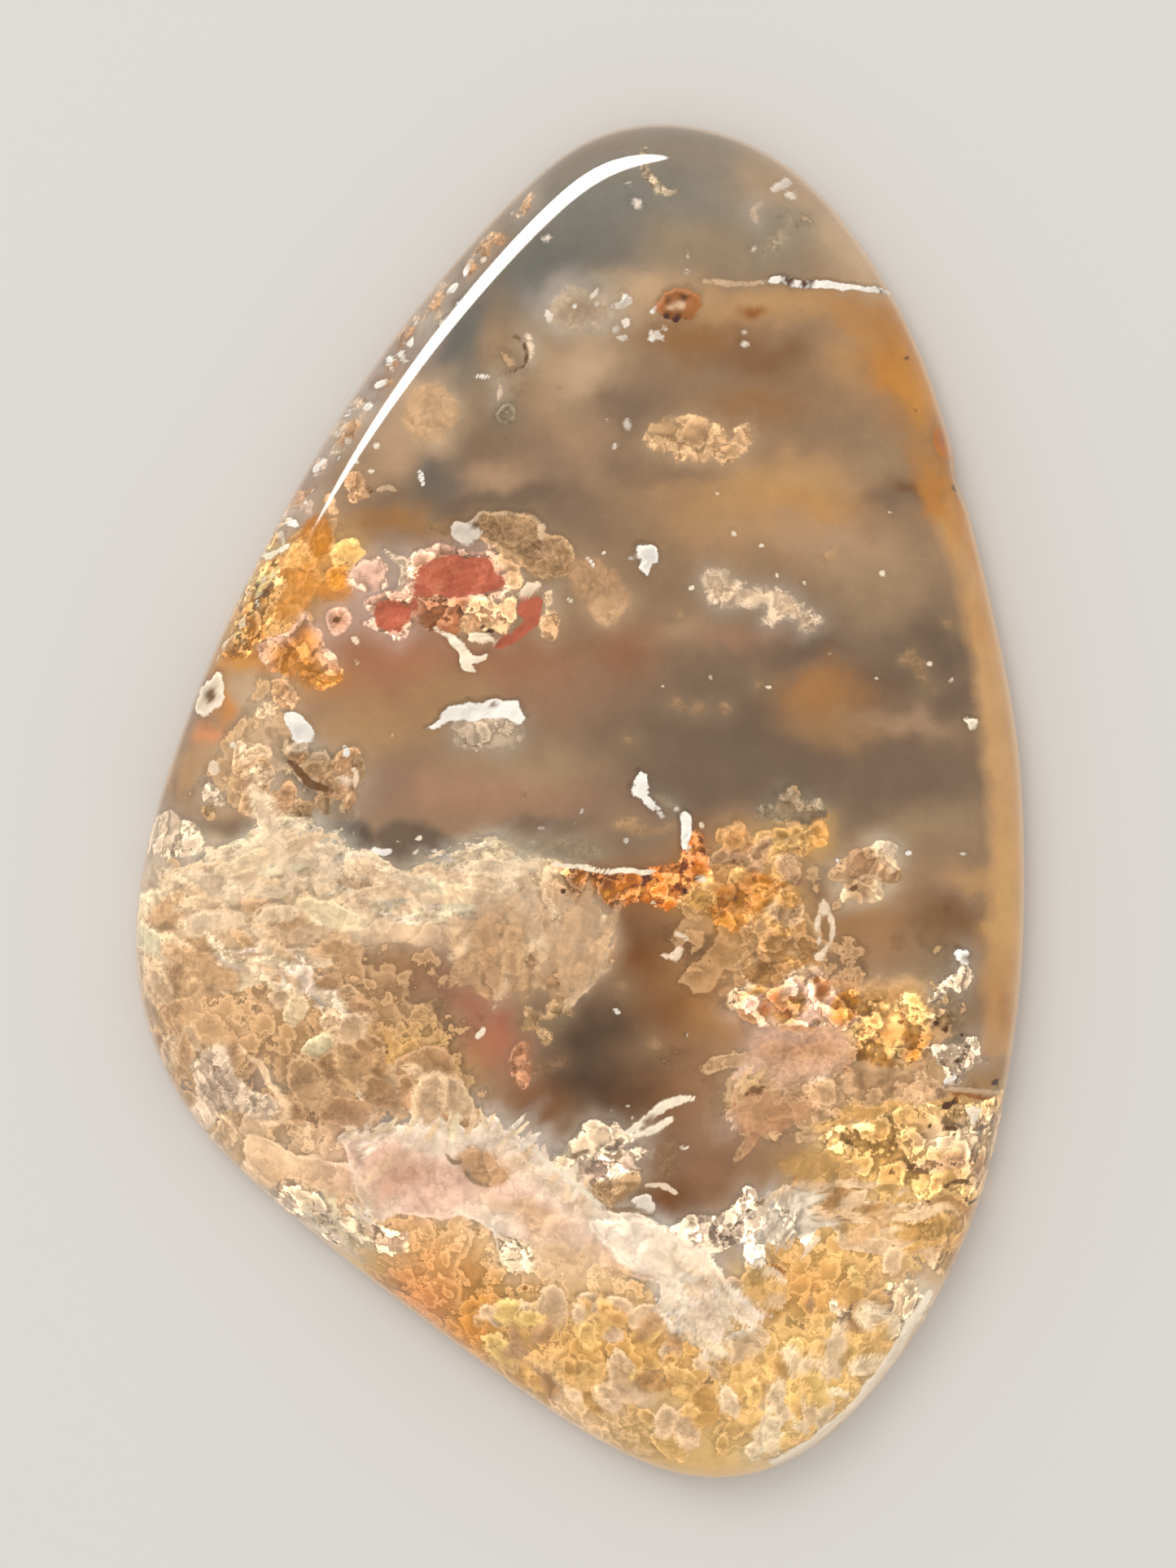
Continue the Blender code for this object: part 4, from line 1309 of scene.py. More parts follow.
    # The brick-red patches with their pink rims and pale crust.
    red_patch: Marks = (
        Patch(PLUME, HAZE, (-3.6, 10.1, -3.3, 10.45, -2.9, 10.4, -2.4, 10.55, -1.9, 10.5, -1.5, 10.45,
            -1.15, 10, -0.9, 9.6, -0.4, 9.5, 0, 9.2, 0.3, 8.8, 0.2, 8.2, -0.8, 8, -1.7, 8.4, -2.4, 9,
            -3.2, 9.3), LACE, TAUPE, 0.98),
        Patch(PLUME, FAWN, (0.2, 8.6, 0.8, 8.8, 1.6, 8.2, 2.1, 7.4, 1.9, 6.9, 1.4, 6.4, 0.9, 6.6, 0.4, 7.2,
            0, 7.8), VEIL, HAZE, 1.02),
        Patch(PLUME, SAND, (0.7, 7, 1.3, 7.2, 2, 7.2, 1.8, 6.8, 1.4, 6.4, 1, 6.5), VEIL, None, 0.99),
        Patch(PLUME, BLUSH, (-8.1, 8, -7.8, 8.6, -7.4, 8.75, -6.95, 8.8, -6.85, 8.2, -6.9, 7.6, -7.4, 7.5,
            -7.9, 7.7), Edge(rim=0.6, shade=0.6, frill=3.4, rough=0.5), None, 1.02),
        Patch(PLUME, PEARL, (-6.9, 9.12, -6.3, 8.85, -6, 8.75, -5.9, 8.3, -6.1, 7.7, -6.4, 7.6, -6.3, 8.4,
            -6.6, 8.8), LACE, HAZE, 0.95),
        Patch(PLUME, BLUSH, (-7.6, 7.2, -7.2, 7.45, -6.6, 7.55, -6.1, 7.6, -5.95, 8.2, -5.9, 8.75,
            -5.4, 9.05, -4.8, 9.2, -4.3, 9.2, -3.9, 9, -3.4, 9.05, -2.8, 8.9, -2.5, 8.4, -2.3, 7.8,
            -2.4, 7.4, -3, 7.3, -4.2, 7.2, -5.2, 7.2, -5.6, 6.6, -5.9, 6.1, -6.35, 5.75, -6.6, 6.05,
            -7, 6.15, -7.6, 6.4, -7.2, 6.7), PINK_RIM, CORAL),
        Patch(PLUME, CLAY, (-5.4, 7.4, -4.2, 7.4, -3.4, 7.2, -3.7, 6.4, -4.4, 6, -5.2, 6.2, -5.6, 6.6),
            Edge(soft=0.14, rim=0.2, shade=0.2, frill=2, rough=0.6), None, 1.06),
        Patch(CREST, BRICK, (-5.55, 8.4, -5.3, 8.65, -4.8, 8.75, -4.3, 8.85, -3.8, 8.75, -3.3, 8.8,
            -3, 8.65, -2.9, 8.4, -2.6, 8.15, -2.4, 7.8, -2.9, 7.6, -3.5, 7.5, -4.2, 7.4, -4.9, 7.45,
            -5.5, 7.3, -5.7, 7.8), RED_BODY, None, 1.02),
        Patch(CREST, BRICK, (-7.05, 7.1, -6.6, 7.25, -6.1, 7.05, -5.9, 6.8, -6, 6.45, -6.4, 6.2, -6.9, 6.3,
            -7.1, 6.6), RED_BODY, None, 1.03),
        Streak(CREST, BRICK, (-5.8, 8.3, -5.65, 7.8, -5.75, 7.2, -5.7, 6.8), 0.1, 0.07),
        Patch(PLUME, SAND, (-3.95, 6.9, -3.5, 7.35, -3, 7.25, -2.6, 7, -2.3, 7.3, -2, 7.1, -2.1, 6.5,
            -2.5, 6.1, -3, 6.2, -3.5, 5.9, -4, 6.2), CRUST, ROSE, 0.98),
        Patch(PLUME, SAND, (-2.7, 8.8, -2.3, 9, -2, 8.85, -1.9, 8.3, -1.7, 8, -1.85, 7.6, -2.3, 7.7,
            -2.45, 8.2), BILLOW, FAWN, 1.02),
        Patch(CREST, CREAM, (-1.9, 7.4, -1.6, 7.8, -1.2, 7.9, -1.15, 7.6, -1.5, 7.35), PLAIN, None, 0.96),
        Patch(CREST, BRICK, (-1.95, 7, -1.5, 7.2, -1.15, 7.25, -1.05, 6.9, -1.2, 6.55, -1.6, 6.5, -2, 6.75),
            RED_BODY, None, 1.04),
        Streak(CREST, BRICK, (-1.2, 6.45, -1.8, 6.15, -2.4, 5.8, -2.8, 5.6), 0.18, 0.1),
        Patch(PLUME, SAND, (-1.1, 6.7, -0.65, 6.85, -0.5, 6.4, -0.5, 6, -0.8, 5.75, -1.15, 6.1), BILLOW,
            FAWN),
        Patch(PLUME, CREAM, (-1.1, 7.3, -0.8, 7.5, -0.7, 7.1, -1, 6.9), PLAIN, None, 0.92),
        Patch(CREST, IVORY, (-5.05, 6.25, -4.6, 6.1, -4.2, 5.9, -3.95, 5.75, -3.8, 5.45, -3.55, 5.3,
            -3.3, 5.35, -2.95, 5.5, -3.1, 5.2, -3.5, 5.05, -3.65, 4.9, -3.5, 4.7, -3.9, 4.62, -4.05, 4.9,
            -4.1, 5.3, -4.4, 5.6, -4.6, 5.9), Edge(rim=0.4, shade=0.8, frill=2.4, rough=0.7), None, 0.98),
        Patch(CREST, CREAM, (-3.7, 5.7, -3.3, 5.75, -2.9, 5.75, -2.85, 5.95, -3.3, 6.1, -3.7, 6), CRUST,
            None, 0.98),
        Patch(CREST, PEARL, (-4.4, 9.7, -4.25, 10, -3.8, 10.1, -3.4, 10, -3.3, 9.7, -3.5, 9.4, -3.75, 9.15,
            -4.1, 9.35), Edge(soft=0.1, rim=0.3, shade=0.6, frill=3), None, 1.05),
        Streak(PLUME, HAZE, (-5.3, 9.8, -4.9, 10, -4.6, 9.75, -4.3, 9.8), 0.14),
        Streak(CREST, CREAM, (-3.6, 10.1, -3.25, 10.45, -2.8, 10.4, -2.3, 10.45), 0.07, 0.06, 0.7),
        Streak(CREST, SAND, (-1.75, 10.5, -1.45, 10.3, -1.1, 9.95), 0.07, 0.06, 0.8),
        Patch(CREST, SAND, (-1.3, 9.9, -1, 9.9, -1, 9.4, -1.25, 9.5)),
        *dots(CREST, UMBRA, (-3.45, 9.98, 0.12, -2.95, 6.15, 0.13, -3.2, 6.3, 0.1, -5.5, 11.7, 0.1)),
    )

    # The white flecks that float in the clear middle and upper half.
    big_flecks: Marks = (
        Patch(PLUME, PEARL, (-4.3, 2.5, -4, 2.9, -3, 3.1, -2, 3, -1.8, 2.5, -1.9, 2.1, -2.6, 1.8, -3.4, 1.9,
            -4, 2), Edge(soft=0.2, rim=0.1, shade=0.2, frill=2), None, 0.9),
        Patch(CREST, CHALK, (-5.3, 2.65, -4.8, 2.95, -4.6, 3.3, -4, 3.45, -3.4, 3.5, -2.8, 3.65, -2.4, 3.55,
            -2.05, 3.55, -1.85, 3.4, -1.7, 3.1, -1.65, 2.85, -2, 2.75, -2.3, 2.95, -3, 2.95, -3.6, 2.9,
            -4.1, 2.9, -4.5, 2.8, -4.8, 2.65), CHALKY, None, 0.98),
        *dots(CREST, UMBER, (-2.85, 3.42, 0.09, 1.85, 0.1, 0, -1.78, 0.12, 0.09)),
        Patch(PLUME, PEARL, (4.7, 8, 4.9, 8.3, 5.4, 8.35, 6, 8.1, 6.4, 7.8, 7, 7.7, 7.7, 7.6, 8.1, 7.4,
            8.4, 7, 8.9, 6.7, 9.05, 6.5, 8.8, 6.35, 8.6, 6.15, 8.2, 6.15, 8, 6.4, 7.6, 6.4, 7.2, 6.3,
            6.9, 6.5, 7.1, 6.9, 6.6, 7, 6, 7, 5.4, 6.9, 5, 7.2),
            Edge(soft=0.22, rim=0.2, shade=0.15, frill=2.4), CREAM, 0.97),
        Patch(PLUME, SAND, (2.75, 12.9, 3, 13.5, 3.6, 13.8, 4.4, 13.9, 4.9, 13.85, 5.5, 13.6, 5.75, 13.2,
            6.2, 13.7, 6.6, 13.6, 6.7, 13.2, 6.4, 12.8, 6.2, 12.4, 5.6, 12.2, 5, 12.4, 4.2, 12.3,
            3.5, 12.6), Edge(soft=0.18, rim=0.35, shade=0.2, frill=3), HAZE, 1.03),
        Patch(CREST, CHALK, (2.3, 9.2, 2.7, 9.25, 2.95, 9.15, 3.1, 8.95, 3.2, 8.65, 3, 8.5, 2.9, 8.3,
            2.8, 8.12, 2.65, 8.3, 2.5, 8.5, 2.6, 8.65, 2.35, 8.8), CRUST, None, 0.93),
        Streak(CREST, PEARL, (2.05, 8.75, 2.35, 8.75), 0.08),
        Patch(CREST, CHALK, (0.5, 8.85, 0.65, 8.8, 0.85, 8.45, 0.8, 8.35, 0.65, 8.5), FLAT),
        *dots(CREST, IVORY, (0, 7.2, 0.13, 5.3, 11.05, 0.07, 5.9, 9.65, 0.1, 6.8, 9.17, 0.1,
            7.35, 8.1, 0.09, 8.5, 7.9, 0.1, 11.3, 8.15, 0.14, 11.6, 10.4, 0.1, 4.35, 7.75, 0.12,
            9.35, 5.2, 0.07, 11.1, 4.45, 0.1, 12.95, 4.93, 0.08, 13.75, 4.4, 0.09, 7.2, 4.1, 0.12,
            5.1, 4.4, 0.08, 3.4, 4.1, 0.07, 1.2, 8.95, 0.09)),
        *dots(PLUME, HAZE, (3.9, 6.85, 0.2, 9.3, 8.8, 0.28, 13.7, 6.4, 0.16, 3.8, 3.5, 0.25, 4.6, 3.3, 0.22,
            5.6, 3.3, 0.15, 6.8, 4.25, 0.14, 2.1, 2.1, 0.16), VEIL),
        Patch(PLUME, HAZE, (11.9, 5, 12.4, 5.4, 12.7, 5, 12.9, 4.4, 13.2, 4, 12.8, 4.1, 12.3, 4.7), VEIL,
            None, 0.96),
        Patch(CREST, IVORY, (14.3, 3.05, 14.6, 2.95, 14.8, 2.9, 14.5, 2.7, 14.35, 2.8), CRUST),
        Streak(PLUME, HAZE, (7.8, 9.3, 8.6, 9.7, 9.6, 9.8, 11.4, 9.9), 0.12, 0.2, 0.5, True),
    )

    # The crack, the rough pit, the wisps and the bubbles of the narrow end.
    top_end: Marks = (
        Patch(PLUME, PEARL, (-0.9, 17.6, -0.6, 18.4, 0.2, 18.7, 1.2, 18.3, 1.5, 17.6, 0.6, 17.2,
            -0.2, 17.1), VEIL, HAZE, 0.95),
        Crowd(CREST, (CHALK, PEARL), (-0.9, 18.2, 1, 18.8, 2.8, 18.4, 3.2, 16.9, 1.4, 16.8, -0.6, 17.4), 16,
            0.14, 31, Edge(soft=0.08, rim=0.3, frill=3), 0.5, 1.4),
        Patch(CREST, RUST, (3.05, 18, 3.3, 18.4, 3.8, 18.65, 4.4, 18.5, 4.7, 18.1, 4.5, 17.6, 3.9, 17.4,
            3.3, 17.5), CRUST, CLAY),
        *dots(CREST, UMBRA, (3.4, 17.55, 0.14, 3.8, 17.45, 0.16, 4.1, 18.3, 0.1, 3.5, 18.2, 0.09)),
        *dots(CREST, SAND, (3.9, 18, 0.16, 3.6, 17.9, 0.1)),
        *clouds(GROUND, (RUST, 6.4, 17.6, 0.4, 0.3, 0, 0.9, 0.9)),
        Streak(CREST, SAND, (4.7, 18.85, 5.4, 18.8, 6.3, 18.75, 7.1, 18.85), 0.1, 0.07),
        Patch(CREST, CHALK, (7.2, 18.95, 7.6, 19.07, 8, 19, 9, 18.92, 10, 18.87, 10.8, 18.97, 11.5, 18.95,
            11.5, 18.67, 10.7, 18.72, 10, 18.62, 9.2, 18.66, 8.4, 18.7, 7.3, 18.76),
            Edge(soft=0.06, rim=0.3, shade=0.9, frill=1.6, rough=0.9), None, 0.97),
        *dots(CREST, UMBRA, (7.8, 18.9, 0.13, 8.35, 18.85, 0.12, 8.65, 18.88, 0.08, 11.2, 18.8, 0.1)),
        Patch(PLUME, ASH, (2.5, 23.9, 2.8, 23.2, 3.1, 22.5, 3.7, 22.25, 3.6, 22.05, 3, 22.1, 2.6, 22.7,
            2.4, 23.4), WISP, None, 1.14),
        *dots(CREST, PEARL, (2, 22.5, 0.1, 2.35, 21.75, 0.18, 7.5, 22.5, 0.22, 7.9, 22.1, 0.14,
            6.6, 20, 0.14, 4.2, 19.9, 0.1, 4.2, 19.2, 0.08, -1, 20.5, 0.18, 3.4, 17.1, 0.09,
            2.8, 16.95, 0.09, 6.2, 16.95, 0.1, 6.35, 16.5, 0.09, 1.6, 12.8, 0.09, 2.1, 13.6, 0.14,
            1.2, 13.7, 0.1), WISP),
        Streak(PLUME, PEARL, (6.9, 21.8, 6.6, 21.4, 6.8, 21), 0.12, 0.1),
        Patch(PLUME, ASH, (6.9, 20, 7.3, 20.8, 8, 21.4, 8.4, 21.2, 7.8, 20.4, 7.3, 19.9), VEIL, None, 1.14),
        Streak(CREST, UMBER, (-2.2, 16.95, -1.75, 16.6, -1.7, 16.1, -2, 15.7, -2.7, 15.45), 0.08, 0.08,
            0.7),
        Patch(PLUME, PEARL, (-1.6, 16.95, -1.4, 16.6, -1.45, 16.2, -1.7, 15.9, -1.6, 16.4), WISP),
        Streak(CREST, CHALK, (-3.6, 15.45, -3, 15.45), 0.08),
        Streak(PLUME, PEARL, (-2.75, 15.4, -2.6, 15, -2.75, 14.55), 0.09),
        Patch(PLUME, ASH, (-2.8, 14.05, -2.6, 14.4, -2.2, 14.4, -2, 14.05, -2.2, 13.7, -2.6, 13.7), LACE,
            SLATE, 0.9),
        Patch(PLUME, SAND, (-6.2, 14, -5.8, 14.9, -5, 15.2, -4.3, 14.6, -4.1, 13.8, -4.8, 13.2, -5.7, 13.2),
            VEIL),
        Crowd(CREST, (CHALK, PEARL), (-3.4, 20.3, -2.6, 20.6, -5, 17.2, -7.4, 14.4, -9.2, 11.6, -10.6, 9.8,
            -10.9, 10.4, -8.6, 14.1, -6.2, 17.6), 44, 0.12, 32, Edge(soft=0.06, shade=0.6, frill=1.4), 0.5),
        Crowd(PLUME, (LILAC, PEARL, FAWN), (-2.4, 21.8, -2, 21.6, -5.2, 17.4, -8, 13.6, -10, 10.4,
            -10.8, 10.6, -8.6, 14.2, -6.2, 17.7), 40, 0.26, 33, Edge(soft=0.12, rim=0.4, frill=2.4)),
        Streak(CREST, CHALK, (-5.65, 12, -5.5, 11.7, -5.45, 11.35), 0.12),
        Streak(CREST, SAND, (-7.15, 11.3, -6.8, 11.4, -6.45, 11.25), 0.08),
        Patch(PLUME, FAWN, (-8.4, 11.9, -8.1, 12.1, -7.8, 11.9, -7.4, 11.5, -7.2, 11.3, -7.6, 11,
            -8.1, 10.8, -8.3, 11.3), BILLOW, None, 1.02),
        *dots(CREST, IVORY, (-7.2, 13, 0.13, -7.4, 12, 0.12, -8, 12.4, 0.11)),
        Patch(CREST, ORANGE, (13.3, 13.75, 13.6, 13.85, 13.8, 13.3, 13.75, 12.6, 13.6, 12.2, 13.4, 12.4,
            13.2, 12.9, 13.15, 13.3), Edge(rim=0, shade=0.4), BRICK, 0.88),
        *dots(CREST, UMBER, (13.9, 11.2, 0.15, 14.05, 10.9, 0.12, 12.3, 16.2, 0.12, 12.5, 14.3, 0.1)),
    )

    # The pale cells and lumps above the left end of the shelf.
    left_cells: Marks = (
        *clouds(GROUND, (SMOKE, -12.4, -1.1, 1.5, 0.5, 0, 0.9, 0.98), (TAN, -12.8, -0.3, 1.4, 0.6, 0, 0.6)),
        Crowd(PLUME, (SAND, FAWN, CREAM), (-12.3, 2.1, -11.2, 1.9, -10.6, 0.6, -10, -0.4, -11.4, -0.6,
            -12.2, 0.6), 26, 0.36, 41),
        Crowd(PLUME, (FAWN, HAZE, PEARL), (-10.2, 1.9, -8.6, 2.1, -7.9, 1.3, -7.8, 0.2, -8.8, -0.5,
            -9.9, -0.6, -9.6, 0.8), 22, 0.38, 42),
        Patch(CREST, UMBER, (-10.5, 1.45, -10.1, 1.35, -9.7, 0.95, -9.1, 0.55, -8.85, 0.25, -9.4, 0.3,
            -9.9, 0.75), Edge(soft=0.06, rim=0, shade=0.4), UMBRA),
        Patch(PLUME, CREAM, (-12.25, 1.8, -12, 2.1, -11.7, 2, -11.65, 1.5, -12, 1.3), BILLOW),
        Patch(PLUME, CREAM, (-11.9, 0.9, -11.5, 1.1, -11, 0.9, -11.1, 0.6, -11.6, 0.55), BILLOW, None,
            0.98),
        Patch(PLUME, PEARL, (-15.9, -1.4, -15.6, -0.8, -15.2, -0.5, -14.9, -0.4, -14.5, -0.55, -14.4, -0.8,
            -14.1, -0.8, -13.8, -0.95, -13.6, -1.4, -13.8, -2, -14.8, -2.1, -15.6, -2),
            Edge(shade=0.6, frill=3, rough=0.4)),
        Patch(PLUME, PEARL, (-13.65, 0.4, -13.3, 0.6, -12.9, 0.35, -12.7, 0, -13, -0.2, -13.6, -0.05),
            BILLOW, None, 1.05),
        Patch(PLUME, HAZE, (-13.7, -0.3, -13.2, -0.3, -13, -0.6, -13.4, -0.8)),
        Streak(CREST, CHALK, (-8.35, 2, -8.2, 1.8, -8.3, 1.5)),
        Streak(CREST, CREAM, (-7.95, 0.4, -7.85, 0.9, -8, 1.2), 0.09),
        *dots(CREST, IVORY, (-8.75, -1.15, 0.09, -8, -1.2, 0.07, -6.3, -1.4, 0.07, -5.6, -1.3, 0.12,
            -5, -1.8, 0.09, -6.7, -1.8, 0.09, -5.6, -1.9, 0.1)),
        Streak(CREST, CHALK, (-7.3, -1.8, -6.9, -1.9, -6.6, -1.8), 0.12),
    )

    # The long cream shelf across the middle, with its fan and its rust band.
    shelf: Marks = (
        Patch(PLUME, SAND, (-16.9, -3.6, -15.4, -3.5, -14, -3.2, -12.8, -3.6, -12, -5.4, -12.8, -6.8,
            -14.2, -7.4, -15.4, -7.2, -17, -7.4), VEIL, CREAM, 0.98),
        Patch(PLUME, PEARL, (-16.9, -1.9, -15.6, -2.2, -14.8, -2.4, -13.9, -2.7, -13.4, -3.3, -14.2, -3.6,
            -15.6, -3.7, -17, -3.6), VEIL),
        Patch(PLUME, SAND, (-13.4, -3.4, -10.6, -3.2, -8.4, -3.6, -8, -4.6, -9, -5.4, -9.8, -6.2,
            -10.6, -6.6, -12.6, -6.6, -14.2, -6, -14.4, -4.6), DEEP, CREAM),
        Patch(PLUME, SAND, (-12.6, -4.2, -9, -3.6, -5, -3.8, -4.6, -4.4, -6, -4.6, -8, -4.6, -9.4, -5.6,
            -10.8, -6, -12.6, -5.6), VEIL, FAWN, 1.02),
        Patch(PLUME, FAWN, (-3.8, -4.2, -2.6, -3.9, -1.4, -4.1, 0.2, -4, 1.2, -4.1, 1.5, -4.8, 1.6, -5.6,
            1.3, -6.1, 0.6, -6.4, 0.6, -7, 0, -6.9, -0.2, -7.4, -0.9, -7.1, -1.2, -6.6, -1.6, -7.2,
            -2, -6.9, -2.6, -7.2, -3.3, -7.1, -3.8, -6.5, -3.5, -5.4),
            Edge(soft=0.2, rim=0.4, frill=1.8, folds=0.16, lean=75, deep=1.6), SAND, 1.04),
        *clouds(PLUME, (CARAMEL, 0.6, -4.9, 0.8, 0.7, 0, 0.5), (CREAM, -2.8, -6, 0.9, 1, 0, 0.5, 0.97)),
        Patch(PLUME, IVORY, (-14, -2.7, -13.6, -2.2, -13.3, -1.9, -12.9, -1.65, -12.4, -1.6, -12, -1.5,
            -11.4, -1.15, -11.1, -0.8, -10.8, -0.6, -10.3, -0.6, -9.8, -0.75, -9.2, -1, -8.9, -1.4,
            -8.5, -1.8, -7.5, -2.1, -7, -2.4, -6.4, -2.5, -5.6, -2.5, -4.9, -2.35, -4.5, -1.9, -4, -1.75,
            -3.5, -1.6, -3, -1.3, -2.2, -1.6, -1.2, -2.1, -0.4, -2.2, 0.2, -2.6, 0.6, -3.4, 1.2, -4.1,
            1.2, -5.2, -0.6, -5.6, -2.4, -5.4, -4.2, -5.6, -6.4, -5.2, -8.6, -5.4, -10.4, -6.4, -12.4, -6.6,
            -15, -7, -17.6, -6.6, -17.6, -3.6, -15.2, -3.2), SHELF_BODY, CREAM, 1.04),
        *clouds(PLUME, (STRAW, -11.6, -2.8, 1.2, 0.5, 0, 0.5, 1.02), (IVORY, -10.6, -3.2, 2.6, 1.2, 0, 0.7),
            (IVORY, -5.6, -2.9, 3, 0.5, 0, 0.7)),
        Patch(PLUME, CREAM, (-5.1, -3.7, -4.6, -3.2, -3.9, -3.4, -3, -3.3, -2.2, -3.3, -2.2, -3.8, -3, -3.9,
            -4, -3.9, -5.2, -4), SHELF_BAND, None, 1.02),
        Streak(PLUME, FAWN, (-8.6, -2.95, -7.4, -3.2, -6.2, -3.4, -5, -3.3), 0.16, 0.18, 0.8, True),
        Streak(PLUME, SAND, (-13.2, -2.6, -12.2, -2.4, -11, -2.2), 0.12, 0.15, 0.6, True),
        Crowd(PLUME, (CHALK, IVORY), (-9, -3.3, -6.6, -3.4, -4.2, -3.6, -2.2, -3.1, -2.1, -3.6, -4.2, -4.5,
            -6.4, -4.3, -8.6, -3.8), 34, 0.15, 81, SHELF_CREST, 0.5, 3, 0, -8),
        Crowd(PLUME, (CHALK, IVORY), (-14.2, -2.9, -12.4, -1.5, -10.8, -0.5, -8.8, -1.4, -6.4, -2.4,
            -3.2, -1.3, -1, -2.2, -3.4, -1.9, -6.4, -2.9, -9, -1.9, -10.9, -1, -12.8, -2.3), 54, 0.14, 82,
            SHELF_CREST, 0.5, 3, 0, 10),
        Patch(PLUME, OCHRE, (-0.4, -2.6, 0.6, -2.5, 2, -2.55, 3.6, -2.4, 4.05, -1.9, 4.3, -1.3, 4.6, -0.95,
            4.8, -1.3, 4.95, -2, 5.1, -2.6, 4.8, -3.1, 4.4, -3.6, 3.4, -3.9, 2.4, -3.8, 1.6, -3.9, 1, -3.5,
            0.4, -3.4), Edge(soft=0.1, rim=0.2, frill=3.4, rough=1, folds=0.12), ORANGE, 0.98),
        *clouds(PLUME, (OCHRE, 4.4, -2.4, 0.8, 1, 0, 0.95, 0.98),
            (CARAMEL, 0.4, -3.3, 1.3, 0.6, 0, 0.7, 1.1), (HONEY, -0.2, -2.5, 0.7, 0.3, 0, 0.7)),
        *dots(CREST, UMBRA, (4.6, -2.85, 0.14, 4.2, -3.3, 0.14, 4.4, -2.3, 0.1, -0.3, -3.3, 0.1,
            1.4, -3.2, 0.08, 2.5, -3.6, 0.09)),
        *dots(CREST, GOLD, (2, -3.1, 0.1, 1.3, -3.4, 0.12, 3, -3, 0.09, 2.6, -3.3, 0.12, 4.35, -1.8, 0.14,
            3.6, -2.9, 0.09)),
        Streak(CREST, IVORY, (-0.7, -2.35, 0.3, -2.45, 1.2, -2.6, 1.9, -2.55, 2.6, -2.65, 3.1, -2.6)),
        Patch(CREST, IVORY, (4.6, -2.9, 4.85, -2.8, 4.95, -2.95, 4.75, -3), FLAT),
        Streak(CREST, CREAM, (2.9, -3.6, 3.1, -3.9), 0.08),
        Patch(CREST, CHALK, (3.98, -0.45, 4.3, -0.5, 4.38, -1, 4.32, -1.5, 4.2, -1.8, 4.05, -1.7,
            3.95, -1.1), Edge(soft=0.06, rim=0.2, shade=1, frill=1, rough=0.4)),
        Streak(CREST, CREAM, (4.7, -0.8, 4.8, -1.1), 0.09),
        Patch(CREST, CHALK, (2.2, 0.2, 2.25, 0.7, 2.6, 0.98, 2.85, 0.65, 2.8, 0.35, 3, 0.1, 3.15, -0.2,
            3.25, -0.5, 3, -0.45, 2.8, -0.2, 2.6, 0, 2.4, 0.1),
            Edge(rim=0.2, shade=0.8, frill=4.6, rough=1)),
        Patch(PLUME, HAZE, (1.5, -0.9, 2.2, -0.7, 3, -1, 3.7, -0.9, 3.5, -1.2, 2.6, -1.3, 2, -1.1), VEIL,
            None, 1.08),
        Patch(PLUME, ASH, (2.9, 0.3, 3.4, 0.1, 3.9, -0.3, 3.6, -0.4, 3.2, -0.1), VEIL, None, 1.1),
        *dots(CREST, PEARL, (-1.2, -1, 0.1, 2.05, -1.5, 0.12, 3.3, -0.6, 0.12, 0.2, -0.8, 0.07,
            0.4, -0.4, 0.08, 3.8, -0.35, 0.09)),
        Patch(PLUME, ASH, (-2, -1.5, -1.2, -1.5, 0, -1.2, 0.6, -1.6, 1.2, -2, 0.4, -2.2, -0.8, -2,
            -1.8, -1.8), VEIL, None, 1.1),
        Patch(CREST, CREAM, (3.3, -5.6, 3.7, -5.6, 3.9, -5.2, 4, -5.5, 3.9, -5.85, 3.5, -5.75), PLAIN, None,
            0.95),
        Streak(CREST, CREAM, (3.7, -4.8, 4.1, -4.95, 4.3, -5.15), 0.09),
    )

